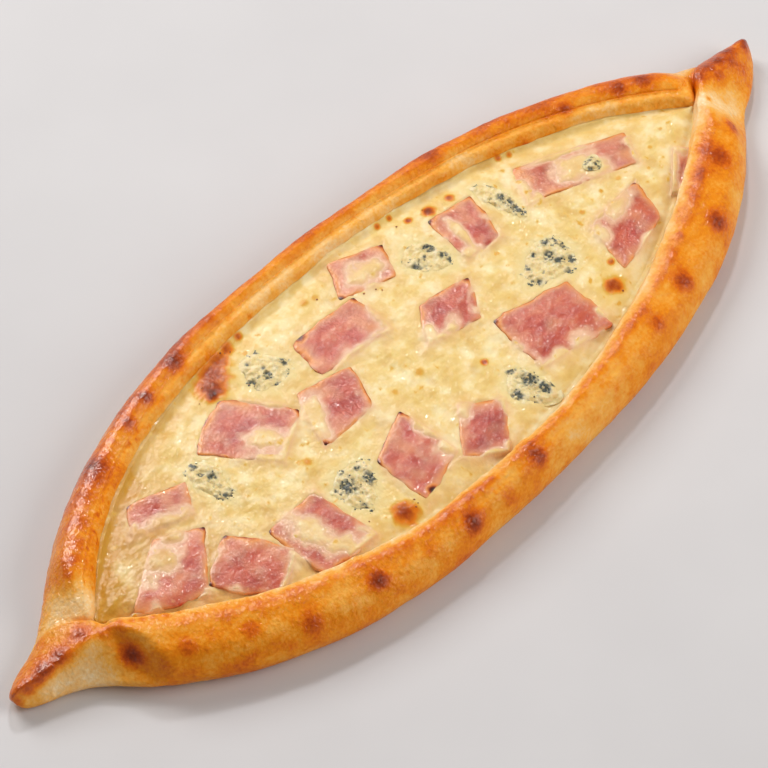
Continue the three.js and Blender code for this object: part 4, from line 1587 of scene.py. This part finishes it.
        dots = smoothstep(noise.at(flat + 15, 2.6), 0.45, 0.7) * fading(edge, 0.9)
        sear = np.maximum(sear, 0.85 * dots) * (1 - 0.8 * film)
        for at_a, at_b in piece.burns:
            reach = np.hypot((a - at_a) * piece.length / 2, (b - at_b) * piece.width / 2)
            reach = reach * (1 + 0.3 * noise.at(flat, 3))
            sear = np.maximum(sear, 1 - smoothstep(reach, 0.3, self.burn_reach))
        looks = {"sear": np.clip(sear, 0, 1), "film": film}
        return self.build_slab(f"sliced_ham_{index + 1:02d}", plan, top, base, looks, material)

    def mould(self, patch: BluePatch, flat: Array, noise: Unevenness) -> tuple[Array, Array]:
        """Gives the strength of the mould over a patch.

        Args:
            patch: The patch.
            flat: The points.
            noise: The patch's own noise.

        Returns:
            Strengths from 0 to 1 of the dark clumps, and of the paler bloom round them.
        """
        clumps, bloom = np.zeros(flat.shape[:-1]), np.zeros(flat.shape[:-1])
        ragged = 1 + 0.5 * noise.layered(flat, 2.2, 3)
        for x, y, size in patch.clumps:
            reach = np.hypot(flat[..., 0] - patch.x - x, flat[..., 1] - patch.y - y) * ragged / (1.2 * size)
            clumps = np.maximum(clumps, 1 - smoothstep(reach, 0.35, 1.3))
            bloom = np.maximum(bloom, bell(reach / 1.6))
        crumb = noise.layered(flat + 12, 1.5, 2)
        veins = smoothstep(noise.layered(flat + 6, 4.5, 3), 0.25, 0.7) * smoothstep(crumb, 0, 0.5)
        dark = clumps * smoothstep(crumb, -0.6, 0.05) + 0.6 * veins
        bloom = bloom * (0.75 + 0.5 * noise.at(flat, 3)) * (1 - smoothstep(patch.share(flat), 0.7, 0.95))
        return np.clip(dark, 0, 1), np.clip(bloom, 0, 1)

    def build_blue(self, index: int, material: Material) -> Piece:
        """Builds one crumbly patch of blue cheese.

        Args:
            index: Its place in the list, from 0.
            material: The blue cheese's finish.

        Returns:
            The finished piece.
        """
        patch, noise = BLUE[index], Unevenness(self.blue_seed + index)
        angle = 2 * math.pi * np.arange(self.blue_rounds) / self.blue_rounds
        share, angle = np.broadcast_arrays(np.linspace(0.03, 1.0, self.blue_rings)[:, None], angle)
        plan = patch.place(share, angle)
        x, y = plan[..., 0], plan[..., 1]
        flat = self.flat_points(x, y)
        base = self.bed(x, y) + (self.ham_thickness + self.lay_gap if patch.on_ham else 0)
        rise = self.blue_thickness * (0.5 if patch.on_ham else 1.0) * (1 - 0.62 * share ** 5)
        crumbs = (0.6 * noise.layered(flat, 3.2, 3) + 0.35 * noise.at(flat + 12, 1.9)) * (1 - share ** 6)
        mould, bloom = self.mould(patch, flat, noise)
        top = base + np.maximum(rise - 0.25 + crumbs - 0.3 * mould, 0.3)
        if patch.on_ham:
            ragged = share + 0.35 * noise.layered(flat + 33, 3, 3)
            top = lerp(top, base + 0.1, smoothstep(ragged, 0.5, 0.95))
        else:
            ragged = share + 0.24 * noise.layered(flat + 33, 4, 4)
            flush = self.level(x, y) + 0.16 - 0.9 * smoothstep(ragged, 0.72, 1.08)
            top = np.maximum(lerp(top, flush, smoothstep(share, 0.6, 0.95)), base + 0.2)
        looks = {"mould": mould, "bloom": bloom * (1 - smoothstep(share, 0.6, 0.9))}
        return self.build_slab(f"blue_cheese_patch_{index + 1}", plan, top, base, looks, material)


@dataclass
class Scatter:
    """Small bits laid over a surface by Geometry Nodes, as dense as one of its attributes says."""

    name: str
    attribute: str
    per_square_mm: float
    smallest: float
    largest: float
    flatness: float
    seed: int
    lumpiness: float = 0.5
    tilt: float = 0.4
    spin: float = 3.1

    def tree(self, material: Material) -> Tree:
        """Builds the tree that lays the bits.

        Args:
            material: The bits' finish.

        Returns:
            A tree with named inputs for the density and the sizes.
        """
        tree = bpy.data.node_groups.new(self.name, "GeometryNodeTree")
        tree.interface.new_socket("Surface", in_out="INPUT", socket_type="NodeSocketGeometry")
        for label in ("Density", "Smallest", "Largest", "Flatness"):
            tree.interface.new_socket(label, in_out="INPUT", socket_type="NodeSocketFloat")
        tree.interface.new_socket("Bits", in_out="OUTPUT", socket_type="NodeSocketGeometry")
        sizes = add_node(tree, "NodeGroupInput").outputs
        growth = add_node(tree, "GeometryNodeInputNamedAttribute", {"data_type": "FLOAT"},
                          {"Name": self.attribute})
        density = add_node(tree, "ShaderNodeMath", {"operation": "MULTIPLY"},
                           links={0: sizes["Density"], 1: growth.outputs["Attribute"]})
        points = add_node(tree, "GeometryNodeDistributePointsOnFaces", values={"Seed": self.seed},
                          links={"Mesh": sizes["Surface"], "Density": density.outputs[0]}).outputs
        ball = add_node(tree, "GeometryNodeMeshIcoSphere", values={"Radius": 1.0, "Subdivisions": 1})
        lump = add_node(tree, "ShaderNodeTexNoise", values={"Scale": 1.6})
        shift = add_node(tree, "ShaderNodeVectorMath", {"operation": "SCALE"}, {"Scale": self.lumpiness},
                         {0: lump.outputs["Color"]})
        bit = add_node(tree, "GeometryNodeSetPosition",
                       links={"Geometry": ball.outputs["Mesh"], "Offset": shift.outputs[0]})
        size = add_node(tree, "FunctionNodeRandomValue", {"data_type": "FLOAT"}, {"Seed": self.seed + 1},
                        {2: sizes["Smallest"], 3: sizes["Largest"]})
        shape = add_node(tree, "ShaderNodeCombineXYZ", values={0: 1.0, 1: 1.0}, links={2: sizes["Flatness"]})
        scale = add_node(tree, "ShaderNodeVectorMath", {"operation": "SCALE"},
                         links={0: shape.outputs[0], "Scale": size.outputs[1]})
        laid = add_node(tree, "GeometryNodeInstanceOnPoints", links={
            "Points": points["Points"], "Instance": bit.outputs["Geometry"],
            "Rotation": points["Rotation"], "Scale": scale.outputs[0]})
        most = np.array([self.tilt, self.tilt, self.spin])
        spin = add_node(tree, "FunctionNodeRandomValue", {"data_type": "FLOAT_VECTOR"},
                        {0: tuple(-most), 1: tuple(most), "Seed": self.seed + 2})
        turned = add_node(tree, "GeometryNodeRotateInstances",
                          links={"Instances": laid.outputs["Instances"], "Rotation": spin.outputs[0]})
        real = add_node(tree, "GeometryNodeRealizeInstances", links={"Geometry": turned.outputs["Instances"]})
        smooth = add_node(tree, "GeometryNodeSetShadeSmooth", links={0: real.outputs["Geometry"]})
        dressed = add_node(tree, "GeometryNodeSetMaterial", values={"Material": material},
                           links={"Geometry": smooth.outputs[0]})
        add_node(tree, "NodeGroupOutput", links={"Bits": dressed.outputs["Geometry"]})
        return tree

    def build(self, surfaces: list[Piece], material: Material) -> Piece:
        """Lays the bits and makes them one plain mesh.

        Args:
            surfaces: The pieces that the bits lie on.
            material: The bits' finish.

        Returns:
            The finished piece.
        """
        tree = self.tree(material)
        ids = {item.name: item.identifier for item in tree.interface.items_tree if item.in_out == "INPUT"}
        sizes = {"Density": self.per_square_mm / MM ** 2, "Smallest": self.smallest * MM,
                 "Largest": self.largest * MM, "Flatness": self.flatness}
        carriers = []
        for surface in surfaces:
            carrier = add_object(f"{self.name}_carrier", surface.data)
            modifier = carrier.modifiers.new(self.name, "NODES")
            modifier.node_group = tree
            for label, value in sizes.items():
                modifier[ids[label]] = value
            carriers.append(carrier)
        graph = bpy.context.evaluated_depsgraph_get()
        points, faces, start = [], [], 0
        for carrier in carriers:
            mesh = bpy.data.meshes.new_from_object(carrier.evaluated_get(graph))
            flat = np.empty(3 * len(mesh.vertices), dtype=np.float32)
            mesh.vertices.foreach_get("co", flat)
            points.append(flat.reshape(-1, 3) / MM)
            faces += [[start + i for i in face.vertices] for face in mesh.polygons]
            start += len(mesh.vertices)
            bpy.data.meshes.remove(mesh)
            carrier.modifiers.clear()
            bpy.data.objects.remove(carrier)
        return make_piece(self.name, np.concatenate(points), faces, material, {})


@dataclass(frozen=True)
class Lamp:
    """A soft square lamp: its place and side in metres, its power in watts and its colour.

    A lamp that isn't diffuse lights no surface and shows only in the gloss.
    """

    name: str
    place: Triple
    side: float
    power: float
    code: str = "#FFFCF6"
    diffuse: bool = True

    def build(self) -> None:
        """Hangs the lamp so that it looks at the part."""
        lamp = bpy.data.lights.new(self.name, "AREA")
        lamp.size, lamp.energy, lamp.color = self.side, self.power, linear(self.code)[:3]
        light = add_object(self.name, lamp)
        light.location, light.visible_diffuse = self.place, self.diffuse
        light.rotation_euler = (-Vector(self.place)).to_track_quat("-Z", "Y").to_euler()


@dataclass
class Studio:
    """The pale floor, the soft lights and the camera.

    A key lamp and a softbox for the gloss hang behind the far rim, a small sheen lamp on the right and a
    fill in front, under an even sky.
    """

    elevation: float = 52.0
    turn: float = 48.55
    distance: float = 1600.0
    target: Triple = (-16.2, 2.3, 10.0)
    pixels_per_mm: float = 2.80
    image: int = 768
    sensor: float = 36.0
    clip_end: float = 20.0
    floor_reach: float = 4.0
    lamps: tuple[Lamp, ...] = (
        Lamp("key", (0.05, 1.2, 1.15), 0.8, 15.0),
        Lamp("softbox", (0.33, 1.28, 0.85), 0.95, 19.0, diffuse=False),
        Lamp("sheen", (0.8, 0.75, 1.45), 0.17, 7.5, "#FFFFFF"),
        Lamp("fill", (0.8, -1.22, 1.0), 1.2, 17.0, "#FFFAF2"),
    )
    sky: str = "#FFFAF2"
    sky_strength: float = 0.26

    def build_floor(self) -> None:
        """Lays the floor."""
        mesh = bpy.data.meshes.new("floor")
        reach = self.floor_reach
        corners = [(-reach, -reach, 0), (reach, -reach, 0), (reach, reach, 0), (-reach, reach, 0)]
        mesh.from_pydata(corners, [], [(0, 1, 2, 3)])
        mesh.materials.append(PaleFloor().material())
        floor = add_object("floor", mesh)

    def build_lights(self) -> None:
        """Hangs the lamps and lights the sky."""
        for lamp in self.lamps:
            lamp.build()
        world = bpy.context.scene.world or bpy.data.worlds.new("sky")
        bpy.context.scene.world = world
        world.use_nodes = True
        world.node_tree.nodes.clear()
        sky = add_node(world.node_tree, "ShaderNodeBackground",
                       values={"Color": linear(self.sky), "Strength": self.sky_strength})
        add_node(world.node_tree, "ShaderNodeOutputWorld", links={"Surface": sky.outputs["Background"]})

    def build_camera(self) -> None:
        """Sets the camera at the photograph's viewing angle."""
        turn, rise = math.radians(self.turn), math.radians(self.elevation)
        ahead = Vector((math.sin(turn) * math.cos(rise), math.cos(turn) * math.cos(rise), -math.sin(rise)))
        lens = bpy.data.cameras.new("camera")
        lens.sensor_width = self.sensor
        lens.lens = self.sensor * self.pixels_per_mm * self.distance / self.image
        lens.clip_end = self.clip_end
        camera = add_object("camera", lens)
        camera.location = (Vector(self.target) - ahead * self.distance) * MM
        camera.rotation_euler = ahead.to_track_quat("-Z", "Y").to_euler()
        bpy.context.scene.camera = camera

    def build(self) -> None:
        """Builds the floor, the lights and the camera."""
        self.build_floor()
        self.build_lights()
        self.build_camera()
        bpy.context.scene.view_settings.view_transform = "Standard"


def main() -> None:
    """Builds the pide, piece by piece, and the studio round it."""
    logging.basicConfig(level=logging.INFO, format="%(name)s: %(message)s")
    Studio().build()
    boat = DoughBoat()
    filling = Filling(boat)
    enter(boat.build(BakedCrust().material()), "crust", "dough")
    cheese = filling.build_cheese(MeltedCheeseFinish().material())
    enter(cheese, "melted_cheese", "cheese")
    ham_finish = CookedHam().material()
    for i in range(len(HAM)):
        enter(filling.build_ham(i, ham_finish), "ham", f"ham_{i + 1:02d}")
    blue_finish = BlueCheeseFinish().material()
    patches = [filling.build_blue(i, blue_finish) for i in range(len(BLUE))]
    for i, patch in enumerate(patches):
        enter(patch, "blue_cheese", f"blue_cheese_{i + 1}")
    specks = Scatter("mould_specks", "mould", 0.7, 0.15, 0.4, 0.5, 3)
    enter(specks.build(patches, MouldClumps().material()), "blue_cheese")
    crumbs = Scatter("toasted_crumbs", "brown", 0.04, 0.2, 0.5, 0.5, 5)
    enter(crumbs.build([cheese], ToastedCrumbs().material()), "melted_cheese")


if __name__ == "__main__":
    main()
